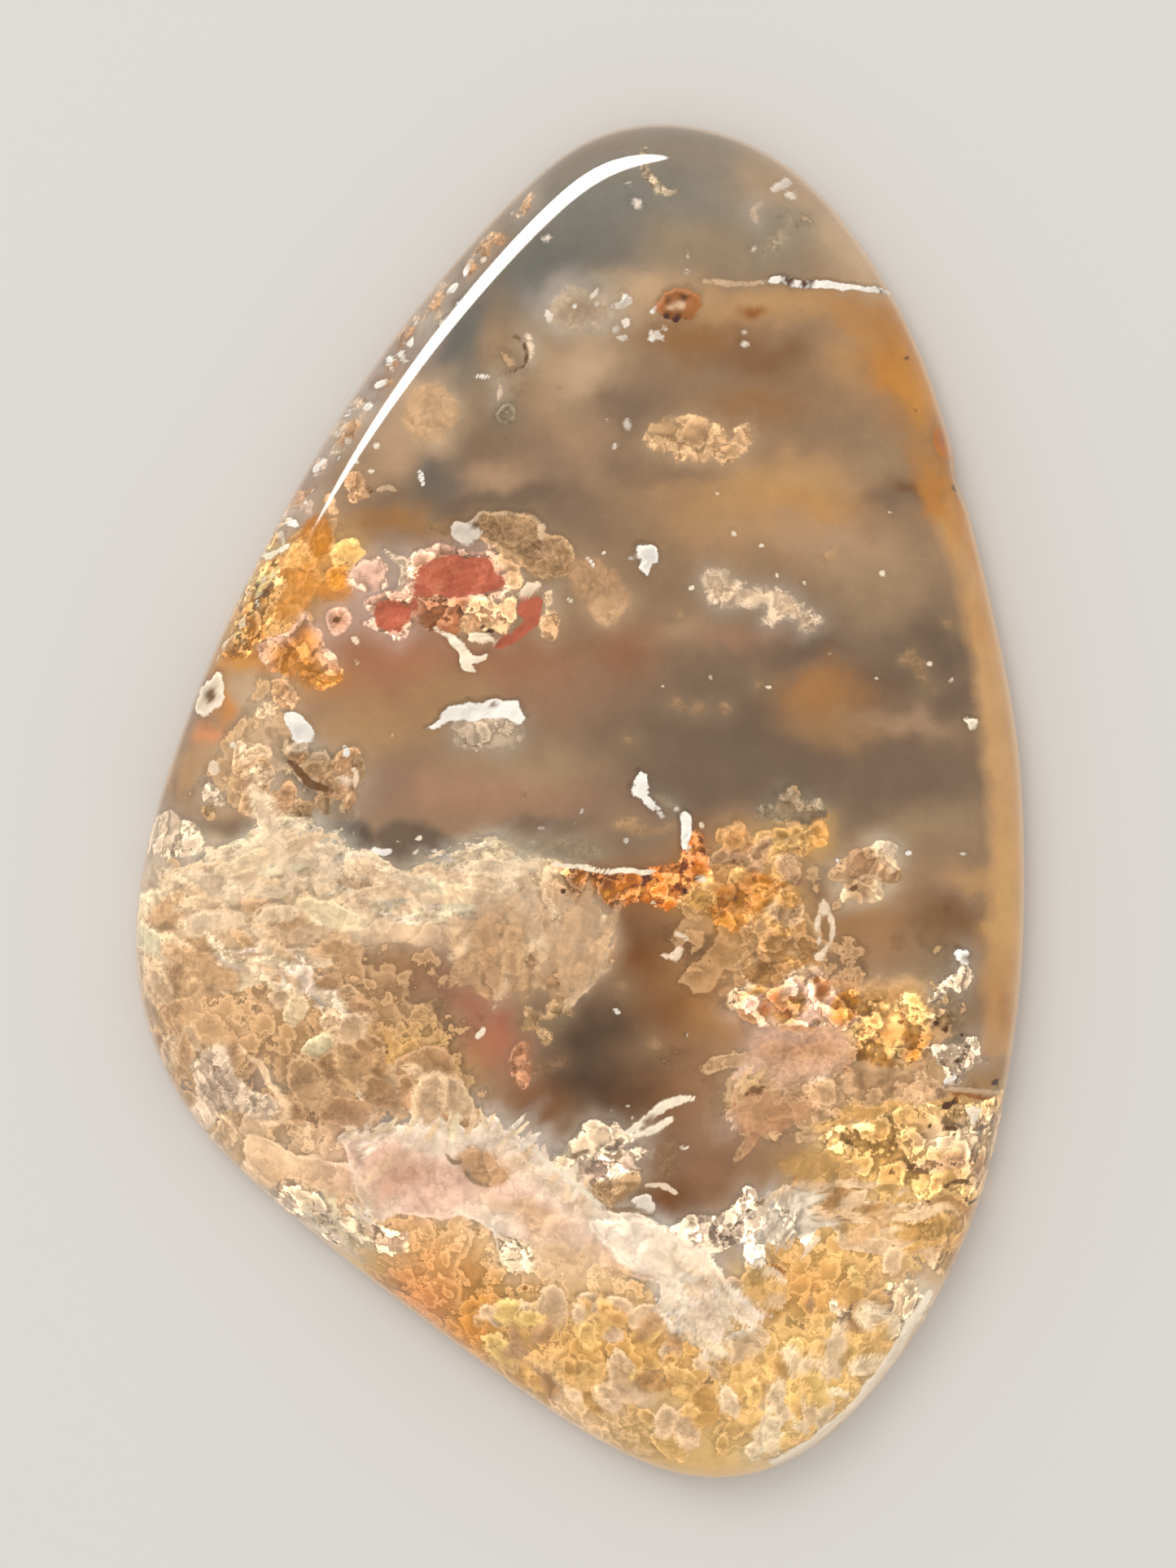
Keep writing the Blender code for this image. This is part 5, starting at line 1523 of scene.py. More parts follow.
    # The ruffled folds that lie on the shelf, the fan and the banks on both sides.
    folds: Marks = (
        Crowd(PLUME, (IVORY, CREAM, IVORY), (-14.4, -3.1, -11.4, -1.4, -10.2, -1, -8.6, -2.2, -6, -2.9,
            -3.4, -2.1, -1.2, -2.6, -0.8, -3.3, -3.6, -3.6, -7.4, -3.6, -10.4, -3.6, -13.4, -4.2), 40, 0.55,
            61, RIDGE, 0.5, 2.3, 0, -8),
        Crowd(PLUME, (CREAM, SAND, IVORY), (-15.8, -4, -11, -4, -8, -4.2, -8.4, -5.4, -10.4, -6.2,
            -15.8, -6.6), 34, 0.6, 62, RIDGE, 0.5, 1.7, 0, -12),
        Crowd(PLUME, (SAND, SAND, FAWN, CREAM), (-3.4, -3.9, -1.2, -4, 0.8, -4.4, 1.2, -5.6, 0.4, -6.8,
            -1, -6.9, -3, -6.9, -3.6, -5.4), 32, 0.5, 63, FAN, 0.5, 2.2, 0, 78),
        Crowd(PLUME, (SAND, FAWN, CREAM, TAN), (-13.2, -6.8, -9.2, -6.6, -7.8, -8, -6.6, -9, -4.6, -9.6,
            -4.2, -11, -8.4, -11.6, -10.8, -11.9, -12.6, -11, -13.4, -9), 36, 0.65, 64, LOBE, 0.5, 1.3,
            0.35),
        Crowd(PLUME, (SAND, CREAM), (-15.8, -6.6, -13.4, -6.8, -13.4, -9.6, -14, -12, -15.4, -9.8,
            -16.2, -8), 18, 0.6, 65, LOBE, 0.5, 1.4, 0.3),
        Crowd(PLUME, (SAND, PETAL, FAWN), (5.4, -9.6, 8.6, -8.2, 12, -8.8, 12.4, -10.4, 9, -11.8, 6.2, -12,
            6.4, -10.8), 36, 0.45, 66, RIDGE, 0.5, 2.4, 0, 28),
        Crowd(PLUME, (STRAW, TAN, CREAM, SAND), (8, -12.6, 10.4, -11.4, 14.8, -11.2, 14.8, -13.6,
            13.8, -16.4, 9.6, -15.8, 7.8, -14.4), 46, 0.5, 67, RIDGE, 0.5, 2.3, 0, 18),
        Crowd(PLUME, (BUTTER, CREAM, STRAW), (-3.4, -18.4, 3, -18.4, 9, -16.8, 12.4, -17.2, 9.4, -22.4,
            5.4, -24, -1, -22.4), 54, 0.5, 69, LOBE, 0.5, 1.25, 0.3),
        Crowd(PLUME, (TAN, FAWN), (-2.8, -18.4, 3, -19, 9, -17, 11.6, -18, 9, -21.4, 4, -22.2, -1, -21.6),
            16, 0.3, 68, DEEP, 0.5, 1.5),
        Crowd(PLUME, (IVORY, BUTTER), (5.6, -22, 7.2, -20.8, 10.4, -18.8, 11.8, -19.2, 9.4, -22.4,
            6.4, -24.2), 34, 0.4, 70, RIDGE, 0.5, 1.4, 0.1),
    )

    # The layered lumps and cells below the shelf's left half.
    lower_left: Marks = (
        Crowd(PLUME, (IVORY, SHELL), (-13.2, -5.2, -11.4, -5.4, -9.6, -6.4, -8.2, -7.4, -8.6, -7.9,
            -10.4, -6.9, -12.9, -6), 30, 0.24, 50, Edge(shade=0.6, frill=3.4, folds=0), 0.5, 2.2, 0, -28),
        Patch(PLUME, CREAM, (-9.2, -7.9, -8.9, -7.6, -8.5, -7.8, -8.45, -8.2, -8.8, -8.35, -9.2, -8.2),
            LACE, SAND, 0.98),
        Patch(PLUME, PEARL, (-14.15, -10, -14, -9.6, -13.5, -9.2, -13.1, -8.95, -12.7, -9.2, -12.6, -9.6,
            -12.3, -10.1, -11.8, -10.5, -11, -11, -10.7, -11.3, -11.2, -11.55, -12.2, -11.4, -13, -11.4,
            -13.4, -11.9, -13.7, -12.2, -14.1, -11.6, -14, -11, -14.1, -10.5),
            Edge(soft=0.1, rim=0.35, shade=0.6, frill=2, folds=0.12, deep=1), LILAC, 1.03),
        Streak(PLUME, CREAM, (-12.2, -9, -11.8, -9.4, -11.4, -9.6, -11.2, -10, -11.1, -10.4, -10.8, -10.6,
            -10.6, -11, -10.4, -11.3, -10.6, -11.7, -11.1, -11.85, -11.6, -11.75), 0.13, 0.08, 1, False,
            0.4),
        Patch(CREST, IVORY, (-7.9, -10.6, -7.75, -10.55, -7.6, -10.95, -7.75, -10.9), FLAT),
        Patch(PLUME, CREAM, (-13.4, -12.6, -13.2, -11.8, -12.8, -11.4, -12.5, -11.9, -12.4, -12.6,
            -12.9, -12.9), LACE, FAWN, 0.94),
        *clouds(GROUND, (HONEY, -12.4, -14, 1.2, 0.7, -45, 0.8)),
    )

    # The yellow cells, the coral bank and the cream bank of the right side.
    right_side: Marks = (
        *clouds(GROUND, (AMBER, 6.2, -3.6, 1.8, 1.4, 0, 0.9, 0.86),
            (CARAMEL, 8.6, -4.4, 1.2, 1.4, 0, 0.7, 0.98)),
        Patch(PLUME, ASH, (6.8, -0.5, 7.4, 0, 7.9, 0.3, 8.5, 0, 9.1, -0.1, 9.3, -0.5, 8.9, -0.9, 8, -0.7,
            7.2, -0.8), Edge(soft=0.2, rim=0.4, shade=0.1, frill=2.4), TAUPE, 1.06),
        Crowd(PLUME, (FAWN, TAN), (5.3, -1.5, 6, -1.1, 6.6, -1.5, 6.4, -2.2, 5.5, -2.4), 8, 0.36, 61),
        Crowd(PLUME, (HONEY, STRAW, FAWN), (6.6, -2.4, 7.2, -1.4, 8, -1.1, 9.2, -1.1, 8.9, -1.8, 8.4, -2.2,
            8.4, -2.8, 7.4, -3, 6.8, -2.9), 20, 0.36, 62, Edge(rim=0.9, shade=0.4, frill=1.4, cells=0.2),
            0.3, 1.2, 0.3),
        Crowd(PLUME, (GOLD, AMBER, STRAW), (4.6, -3.4, 5.6, -2.8, 7, -3, 7.6, -3.8, 7.2, -4.6, 6, -4.8,
            5.2, -4.4), 18, 0.5, 63, Edge(rim=0.45, shade=0.35, frill=1.8, cells=0.2), 0.3, 1.2, 0.25),
        Crowd(PLUME, (HONEY, TAN, SAND), (5.6, -4.9, 6.6, -4.8, 7.6, -4.6, 8.4, -4.8, 8.8, -5.6, 8.2, -6,
            7.2, -6.1, 6.6, -6.8, 5.9, -6.4, 5.5, -5.6), 20, 0.5, 64,
            Edge(shade=0.4, frill=1.8, cells=0.3)),
        Crowd(PLUME, (SAND, HONEY), (7.3, -4, 8, -3.4, 8.8, -3.6, 8.8, -4.6, 8, -4.8, 7.4, -4.6), 9, 0.34,
            65, Edge(rim=0.9, shade=0.4, frill=1.4), 0.3, 1.2, 0.3),
        Streak(CREST, CREAM, (8.95, -5.3, 8.9, -4.6, 9.05, -4.1, 9.1, -3.7, 9.3, -4.1, 9.45, -4.6,
            9.4, -5.1, 9.15, -5.5), 0.11, 0.07),
        Patch(CREST, CREAM, (8.8, -5.6, 9.1, -5.45, 9.3, -5.6, 9.15, -5.85, 8.9, -5.85), PLAIN, None, 0.96),
        Crowd(PLUME, (SAND, CREAM, FAWN), (9.6, -2.5, 9.9, -2, 10.6, -2.1, 11.1, -1.7, 11.7, -1.8,
            11.6, -2.6, 11.3, -3.6, 10.4, -3.5, 9.7, -3.3), 24, 0.34, 66,
            Edge(rim=0.9, shade=0.4, frill=1.6)),
        *dots(CREST, UMBER, (10.2, -3.3, 0.15, 10.2, -2.9, 0.09, 9.7, -2.35, 0.1, 5.8, -2.3, 0.1)),
        *dots(CREST, CHALK, (9.6, -2.2, 0.1, 14.2, -1.93, 0.09, 12.2, -1.9, 0.12)),
        Patch(PLUME, PEARL, (11.1, -1.6, 11.4, -1.5, 11.8, -1.7, 11.7, -2, 11.3, -2), LACE, None, 0.98),
        Patch(PLUME, SAND, (9.4, -6.7, 10.2, -6.75, 10.6, -6.5, 11.2, -6.4, 11.8, -6.5, 12.3, -6.3,
            12.6, -6.6, 13.1, -7, 13, -8, 12, -8.2, 10.4, -7.6), VEIL, HONEY, 0.98),
        Patch(PLUME, CREAM, (5.6, -7.2, 6, -6.8, 6.5, -6.7, 7.1, -6.95, 7.6, -6.7, 8, -6.3, 8.6, -6.1,
            9.1, -6.3, 9.4, -6.7, 9.8, -7.2, 10.2, -7.8, 10.6, -8.2, 10.2, -8.5, 9.4, -8.3, 8.4, -8.2,
            7.6, -8.2, 6.9, -8.3, 6.4, -7.7, 5.8, -7.7), CORAL_BANK, CORAL, 0.98),
        Crowd(PLUME, (CORAL, BLUSH, HONEY), (6.2, -7, 7.8, -6.8, 8.8, -6.5, 9.8, -7.4, 10, -8.2, 8.4, -8.1,
            6.8, -7.8), 26, 0.32, 67, Edge(rim=0.7, shade=0.6, frill=2.4, rough=0.5)),
        Crowd(PLUME, (GOLD, HONEY, BUTTER), (9.8, -7.6, 11.4, -7.4, 12.6, -7.5, 13, -8.4, 12.4, -9.4,
            11.4, -9.7, 10.2, -9.8, 10, -9), 36, 0.4, 68, Edge(rim=0.55, shade=0.4, frill=2.6, rough=0.7)),
        *clouds(PLUME, (AMBER, 11.8, -8.5, 0.9, 0.5, 0, 0.8, 1.08)),
        *dots(CREST, RUST, (7.9, -7.2, 0.13, 8.3, -7.95, 0.1, 9, -8, 0.09, 9.6, -7.6, 0.1, 8.9, -6.6, 0.14,
            8.8, -7.35, 0.09, 11.9, -8, 0.1, 12.3, -8.5, 0.14)),
        Patch(PLUME, BLUSH, (6.9, -8.4, 8.2, -8.4, 9.6, -8.4, 10, -9, 9.9, -9.6, 9, -9.9, 7.6, -10,
            6.6, -9.6, 6.4, -8.9), VEIL, ROSE, 0.93),
        Patch(PLUME, SAND, (6.1, -10.9, 6.8, -10.5, 7.4, -10.45, 8.2, -10.4, 9.4, -10.2, 10.2, -10,
            10.2, -9.5, 10.8, -9.6, 11.6, -9.8, 12.8, -9.9, 13.4, -10.3, 13.8, -10.8, 12.6, -11, 11.2, -11,
            10.2, -11, 9.4, -11.3, 8.8, -11.7, 8.3, -11.7, 8.4, -11.2, 8.9, -10.9, 8, -10.9, 6.8, -10.9),
            Edge(soft=0.12, rim=0.4, shade=0.4, frill=1.8, folds=0.14, lean=18), FAWN, 0.93),
        Patch(PLUME, ROSE, (6, -11.1, 6.8, -10.9, 8, -11, 8.6, -11.1, 8.1, -11.6, 7.4, -12, 6.6, -12.2,
            6.1, -11.9), VEIL, TAN, 0.96),
        Patch(CREST, UMBER, (6.2, -10.7, 6.8, -10.5, 7.3, -10.42, 6.7, -10.75, 6.3, -10.85),
            Edge(soft=0.09, rim=0, shade=0.1, rough=0.2)),
        Patch(PLUME, BUTTER, (9.1, -12.4, 9.4, -12, 10, -11.85, 10.6, -11.75, 11.4, -11.4, 12, -11.1,
            13, -11.1, 14, -11.2, 14.8, -11, 15.8, -10.95, 15.9, -12.2, 15.3, -13.2, 15, -14.3, 14.4, -14.4,
            13.6, -14.2, 12.9, -14.5, 12.4, -14.3, 12, -14, 11.4, -14, 10.8, -13.8, 10.4, -13.7,
            10.5, -13.3, 9.9, -13.1, 9.4, -13.1),
            Edge(rim=0.6, shade=0.8, frill=2.2, rough=0.6, folds=0.12, lean=-10), STRAW, 0.97),
        Patch(PLUME, STRAW, (7.8, -13, 8.8, -12.8, 9.4, -13.2, 10.2, -13.3, 9.8, -13.6, 8.6, -13.7,
            7.7, -13.5), VEIL, None, 0.86),
        *clouds(PLUME, (PEARL, 14.2, -12.3, 1.4, 0.8, 0, 0.8, 1.06)),
        Patch(PLUME, FAWN, (12.2, -13.3, 12.6, -13.1, 13.4, -13.1, 14.4, -13, 15.2, -13.1, 15, -13.4,
            14, -13.4, 13.2, -13.6, 12.6, -13.5), Edge(rim=0.2, shade=0.6, frill=3, rough=0.7), None, 0.98),
        Patch(CREST, IVORY, (14.3, -11.2, 14.7, -11.3, 14.6, -11.8, 14.8, -12.2, 14.6, -12.3, 14.4, -11.9,
            14.35, -11.5)),
        Streak(CREST, UMBER, (13.4, -14.3, 13.7, -14, 14, -13.9, 14.5, -13.9), 0.09),
        Streak(CREST, UMBER, (12.2, -13.4, 12.5, -13.2), 0.09),
        Streak(CREST, UMBER, (13.4, -11.95, 14, -11.95), 0.08),
        Streak(CREST, SMOKE, (14.5, -12, 15.1, -12)),
        *dots(CREST, UMBRA, (13.6, -11.15, 0.16, 13.85, -11.05, 0.12, 14.2, -14.35, 0.15,
            14.55, -14.3, 0.13, 13.8, -12.2, 0.1, 14.2, -13.15, 0.09, 15.1, -13.1, 0.13, 12.9, -14.6, 0.1,
            15.25, -10.35, 0.14, 15.45, -10.6, 0.1, 12.95, -11.9, 0.09, 11.6, -13.55, 0.14,
            13.2, -8.2, 0.12, 13.5, -8.4, 0.14)),
        Patch(PLUME, PEARL, (14.2, -7, 14.6, -6.4, 14.45, -6, 14.3, -5.6, 14.1, -5.9, 14, -6.3, 13.6, -6.5,
            13.3, -6.9, 13.05, -7.4, 13.5, -7.2, 13.8, -6.9), CRUST, HAZE, 1.02),
        Patch(CREST, CHALK, (13.9, -5.55, 14.2, -5.5, 14.5, -5.7, 14.4, -5.95, 14.1, -5.85), CRUST),
        Patch(PLUME, HAZE, (13, -7.9, 13.4, -7.5, 13.8, -7.8, 13.7, -8.3, 13.2, -8.4), CRUST),
        Patch(PLUME, PEARL, (13.1, -9, 13.8, -8.95, 14, -9.3, 14.1, -8.8, 14.5, -8.6, 14.8, -8.9,
            14.85, -9.4, 15.1, -9.6, 14.5, -9.7, 14.2, -9.9, 14.1, -10.3, 13.6, -10.2, 13.4, -9.6), CRUST,
            HAZE, 1.02),
        *dots(CREST, UMBRA, (14, -9.5, 0.13, 13.5, -9.6, 0.1, 14.4, -9.3, 0.09, 13.8, -9.95, 0.12,
            14.3, -5.75, 0.08, 14.1, -8.6, 0.1)),
        *dots(CREST, CHALK, (13.6, -10.2, 0.12, 13.9, -10.1, 0.1, 13.3, -9.1, 0.1, 14.4, -8.8, 0.1,
            13.5, -6.7, 0.09)),
        Streak(CREST, SAND, (13.6, -10.5, 14.3, -10.6, 15, -10.7, 15.6, -10.85), 0.13),
        Streak(CREST, RUST, (13.6, -10.7, 14.4, -10.8, 15.2, -10.9), 0.08),
        *dots(CREST, CHALK, (1.65, -7.65, 0.13, 4.2, -8.5, 0.1, 5.95, -11.9, 0.07)),
        *dots(CREST, UMBRA, (4.15, -8.45, 0.06)),
        *dots(PLUME, HAZE, (1.9, -6.7, 0.18, 3, -8.8, 0.2), VEIL),
    )

    # The pale wisps and the oval bubble in the dark hollow below the middle.
    grey_wisps: Marks = (
        Patch(PLUME, HAZE, (-0.9, -7, -0.2, -7.1, -0.4, -7.6, 0.1, -7.8, -0.5, -8, -1.1, -8, -1.3, -8.4,
            -1.8, -8.35, -1.6, -7.9, -1.75, -7.5, -1.3, -7.6, -0.9, -7.8), GREY_WISP, None, 1.04),
        Patch(PLUME, HAZE, (-1.2, -8.4, -0.9, -8.3, -0.7, -8.6, -0.7, -8.9, -0.9, -9, -1.15, -8.8),
            GREY_WISP, None, 1.08),
        Patch(PLUME, TAUPE, (-1.5, -9.6, -0.9, -9.6, -0.2, -9.3, -0.2, -9.7, -0.8, -9.85, -1.4, -9.9), VEIL,
            None, 0.98),
        Patch(PLUME, ROSE, (-2.25, -9.7, -2.1, -9.1, -1.85, -8.85, -1.6, -8.95, -1.42, -9.5, -1.42, -10.1,
            -1.65, -10.5, -1.95, -10.5, -2.2, -10.1), Edge(soft=0.08, rim=0.3, shade=0.25, frill=0.6), None,
            0.92),
        Patch(CREST, IVORY, (-3.45, -8.5, -3.3, -8.25, -3.15, -8.3, -3.25, -8.55, -3.35, -8.7, -3.4, -8.6),
            FLAT, None, 0.98),
        *dots(CREST, PEARL, (2.05, -11.05, 0.08, 1.5, -11.3, 0.06, 2.2, -11.5, 0.06)),
        Patch(PLUME, TAUPE, (3, -13.2, 3.2, -12.5, 3.6, -12.3, 3.9, -12.6, 3.8, -13.4, 3.4, -13.6), VEIL,
            None, 0.95),
        Streak(CREST, IVORY, (3.95, -12.7, 4.25, -12.6), 0.09),
    )

    # The pink-white plume, its feathers, its branch and the long diagonal edge.
    pink_plume: Marks = (
        Patch(PLUME, CREAM, (-12.2, -12.6, -11.9, -12.2, -11.4, -12.3, -10.9, -12.6, -10.4, -12.9,
            -9.4, -13, -8.9, -13.2, -8.3, -13.3, -8, -13.6, -8.2, -14.2, -8.6, -14.6, -9.8, -14,
            -10.6, -13.9, -11.2, -14.4, -11.8, -14.3, -12.2, -13.6), PINK_BODY, SAND),
        Patch(PLUME, IVORY, (-10.8, -14.4, -10.2, -14.2, -9.4, -14.4, -8.8, -14.7, -8.4, -15.2, -7.7, -15.7,
            -7.8, -16.3, -8.6, -16.4, -9.2, -16.4, -9.4, -15.9, -10.2, -15.6, -10.9, -15.2), FEATHER, None,
            0.98),
        Patch(PLUME, SHELL, (-8.6, -12.4, -8.2, -12.15, -7.6, -12.1, -7.15, -12.15, -7.1, -11.8,
            -6.6, -11.85, -6, -11.8, -5.1, -11.85, -4.8, -11.5, -4.4, -11.8, -3.6, -11.9, -3.2, -11.6,
            -2.7, -11.5, -2.4, -11.9, -1.9, -12.3, -1.2, -12.7, -0.6, -13.2, 0, -13.8, 0.8, -14.5,
            1.6, -14.9, 2.6, -15, 3.3, -15.5, 4.4, -16.2, 3.6, -17.6, 3, -17.6, 1.6, -17, 0.2, -16.9,
            -0.8, -16.7, -1.3, -17, -2, -17.1, -2.6, -16.8, -2.8, -16, -3.4, -15.4, -5, -15.2, -6.4, -15.2,
            -7, -15.5, -7.6, -15, -8, -14.2, -8.1, -13.3, -8.2, -12.8), PINK_BODY, PETAL, 1.05),
        *clouds(PLUME, (BLUSH, -6.4, -13.2, 2.4, 0.9, 0, 0.9, 0.97),
            (BLUSH, -5.2, -14.3, 2.4, 0.7, -5, 0.6, 0.96), (BLUSH, -3.6, -13.8, 1.6, 0.5, -20, 0.7, 0.97),
            (SAND, -1.4, -15.3, 1.8, 0.5, -10, 0.8, 1.04), (CREAM, 0.2, -14.6, 1, 0.3, -30, 0.8, 1.02),
            (CREAM, -1.9, -13.2, 1, 0.4, -30, 0.8), (CHALK, -4.6, -12.4, 1.8, 0.35, 0, 0.6, 0.97),
            (BUTTER, 1.4, -17, 1.4, 0.6, 0, 0.6, 0.98)),
        Patch(PLUME, FAWN, (-4.1, -12.95, -3.6, -12.7, -3, -12.85, -2.6, -13.2, -2.3, -13.5, -2.5, -13.9,
            -3.1, -14.05, -3.6, -13.8, -3.9, -13.4), Edge(soft=0.1, rim=0.3, frill=3.6, rough=0.2), SAND,
            0.98),
        Streak(PLUME, CREAM, (-7.7, -14.8, -7.5, -13.9, -6.9, -13.3, -6, -12.9), 0.22, 0.22, 0.7, True),
        Streak(PLUME, ROSE, (-7.2, -15, -6.9, -14.3, -6.2, -13.7, -5.2, -13.4), 0.3, 0.3, 0.5, True),
        Streak(CREST, IVORY, (-1.35, -12.75, -0.4, -13.5, 0.4, -14.2, 1.3, -14.85), 0.1, 0.08, 0.9),
        Patch(PLUME, CREAM, (-8, -15.6, -7.2, -15.3, -6.6, -15.7, -6, -15.9, -6.2, -16.5, -6.8, -16.6,
            -7.4, -16.4), FEATHER, BLUSH, 0.98),
        Streak(CREST, TAUPE, (-4.6, -12.9, -4.3, -13.15, -4, -13.2)),
        Streak(CREST, TAUPE, (-3.9, -13.5, -3.6, -13.85, -3, -14.05), 0.09),
        Patch(PLUME, IVORY, (-2.7, -15.9, -2.2, -16, -1.7, -16.1, -1.3, -16.3, -1.2, -16.9, -1.6, -17.15,
            -1.9, -16.8, -2.2, -17.2, -2.5, -16.8), FEATHER),
        Patch(PLUME, CREAM, (-1.2, -16.1, -0.6, -16, 0.2, -16.2, 0.8, -16.4, 0.7, -17.2, 0.2, -17.5,
            -0.4, -17.2, -0.9, -17.4, -1.2, -16.9), VEIL, SAND),
        Patch(PLUME, PEARL, (-0.2, -12.6, 0.3, -12.2, 0.5, -11.8, 0.9, -11.65, 1.3, -11.9, 1.55, -11.7,
            1.8, -12, 2.3, -12, 2.9, -12, 2.2, -12.4, 1.4, -12.8, 0.6, -13, 0, -13), FEATHER, CREAM, 1.06),
        Patch(PLUME, PEARL, (-0.9, -12.9, 0.2, -13, 1.2, -12.9, 2, -12.7, 2.5, -12.6, 2.85, -12.9,
            2.4, -13.2, 2.6, -13.6, 2, -13.8, 1.2, -13.9, 0.8, -14.3, 0, -13.8), FEATHER, BLUSH, 1.04),
        Patch(PLUME, HAZE, (0.8, -14, 1.6, -13.8, 2.4, -13.6, 2.6, -14, 2.2, -14.3, 1.6, -14.7, 1, -14.6),
            Edge(soft=0.1, rim=0.2, shade=0.5, frill=2), None, 1.06),
        Streak(CREST, TAUPE, (0, -13, 0.4, -12.8, 0.6, -12.75), 0.08),
        Streak(CREST, TAUPE, (1, -12.85, 1.4, -12.95, 1.7, -13, 1.7, -12.75), 0.08),
        Streak(CREST, IVORY, (1.9, -12.1, 2.6, -11.7, 3.2, -11.2, 3.8, -10.95, 4.5, -10.85), 0.17, 0.08, 1,
            False, 0.3),
        Streak(CREST, IVORY, (2.2, -12.2, 2.8, -12.05, 3.3, -11.8, 3.7, -11.55), 0.16, 0.08, 1, False, 0.3),
        Streak(CREST, TAUPE, (2.6, -11.75, 3, -11.5), 0.07, 0.05),
        Streak(CREST, CREAM, (2.75, -14, 3.2, -14, 3.6, -14.15, 3.85, -14.35)),
        Patch(CREST, PEARL, (2.2, -14.6, 2.5, -14.35, 2.9, -14.3, 3.05, -14.7, 3, -15, 2.7, -14.9,
            2.4, -14.8), CRUST, None, 1.04),
        Streak(CREST, TAUPE, (1.3, -14.85, 1.9, -14.85, 2.4, -14.95, 3, -15.1), 0.09),
        Patch(PLUME, PEARL, (3.3, -15.7, 3.8, -15.5, 4.2, -15.1, 4.8, -15.1, 5.4, -15, 5.9, -14.7,
            6.2, -14.1, 6.55, -14.15, 6.7, -14.6, 6.9, -14.4, 7.2, -14.4, 7, -15.2, 6.6, -15.8, 5.8, -16.2,
            5, -16.5, 4.2, -16.2), FEATHER, LILAC, 1.04),
        Patch(PLUME, CHALK, (6.9, -15, 7.3, -14.7, 7.8, -14.5, 8.4, -14.7, 8.8, -15, 9, -15.5, 8.7, -15.9,
            8.4, -16.1, 8, -15.9, 7.7, -16.3, 7.3, -16.2, 7, -15.8), FEATHER, None, 0.99),
        Patch(PLUME, CHALK, (6.2, -15.9, 6.8, -15.9, 7, -16.3, 7, -16.8, 6.6, -16.8, 6.3, -16.4), FEATHER),
        Streak(PLUME, IVORY, (7, -17.1, 7.4, -17.1, 7.8, -17.5), 0.12, 0.08),
        Streak(CREST, TAUPE, (6.6, -14.75, 7, -14.5), 0.09),
        Streak(CREST, RUST, (7.2, -16.8, 7.6, -17, 7.9, -17.3), 0.07),
        Patch(PLUME, SHELL, (0.6, -15.3, 2.6, -15.3, 3.6, -15.7, 4.6, -16.3, 5.4, -17, 5.8, -17.9,
            6.6, -18.4, 7.1, -18.8, 6.4, -19, 5.8, -18.8, 5.4, -19.6, 4.8, -19.9, 4.2, -19.4, 3.6, -18.9,
            3.4, -18.2, 3, -17.4, 1.6, -16.6), PINK_BODY, SHELL, 1.04),
        *clouds(PLUME, (IVORY, 4.6, -17.9, 1.6, 1, -50, 0.8),
            (CREAM, 5.4, -17.4, 0.8, 0.5, -45, 0.6, 0.98)),
        Crowd(PLUME, (SHELL, IVORY, CREAM), (-8.4, -12.2, -6.4, -11.7, -4.6, -11.4, -2.4, -11.4,
            -0.8, -12.6, 1.2, -14.4, 0.6, -14.8, -1.2, -13.4, -3, -12.2, -6, -12.3, -8, -12.8), 60, 0.17,
            71, HAIRS, 0.5, 2.2, 0, 60),
        Crowd(PLUME, (SHELL, IVORY, CHALK), (3.2, -16.4, 5.6, -17.6, 7, -18.6, 6.2, -19.4, 4.8, -20.2,
            3.6, -19.2, 2.8, -17.8), 44, 0.19, 72, HAIRS, 0.5, 2.2, 0, -35),
        Crowd(PLUME, (CHALK, PEARL), (6.6, -14.6, 8.4, -14.3, 9.2, -15.4, 8.4, -16.4, 7, -16.2), 30, 0.17,
            73, HAIRS, 0.5, 2.4, 0, 40),
        Crowd(PLUME, (SHELL, IVORY), (-10.6, -14.3, -8.4, -14.6, -7.4, -15.6, -8.4, -16.6, -10.6, -15.6),
            34, 0.17, 74, HAIRS, 0.5, 2.4, 0, -40),
    )

    # The pale lines of painted light along the lower right rim and the lower left rim.
    rim_line: Marks = (
        Streak(CREST, IVORY, (12.9, -18, 11.6, -20.3, 10.2, -22.4, 9, -23.4, 8, -24, 7, -24.4), 0.24, 0.08,
            1, False, 0.2),
        Streak(CREST, CREAM, (13.4, -18.3, 12.1, -20.6, 10.7, -22.7, 9.4, -23.8, 8.2, -24.4), 0.11, 0.05),
        Streak(CREST, IVORY, (-13.2, -13.6, -11.6, -15.6, -9.6, -17.2, -7.4, -18.8, -5.2, -20.6, -3, -22.6,
            -0.6, -24, 2, -24.9), 0.07, 0.06, 0.5),
    )

    def build(self) -> list[Mark]:
        """Return all the markings in painting order."""
        return [mark for part in fields(self) for mark in getattr(self, part.name)]


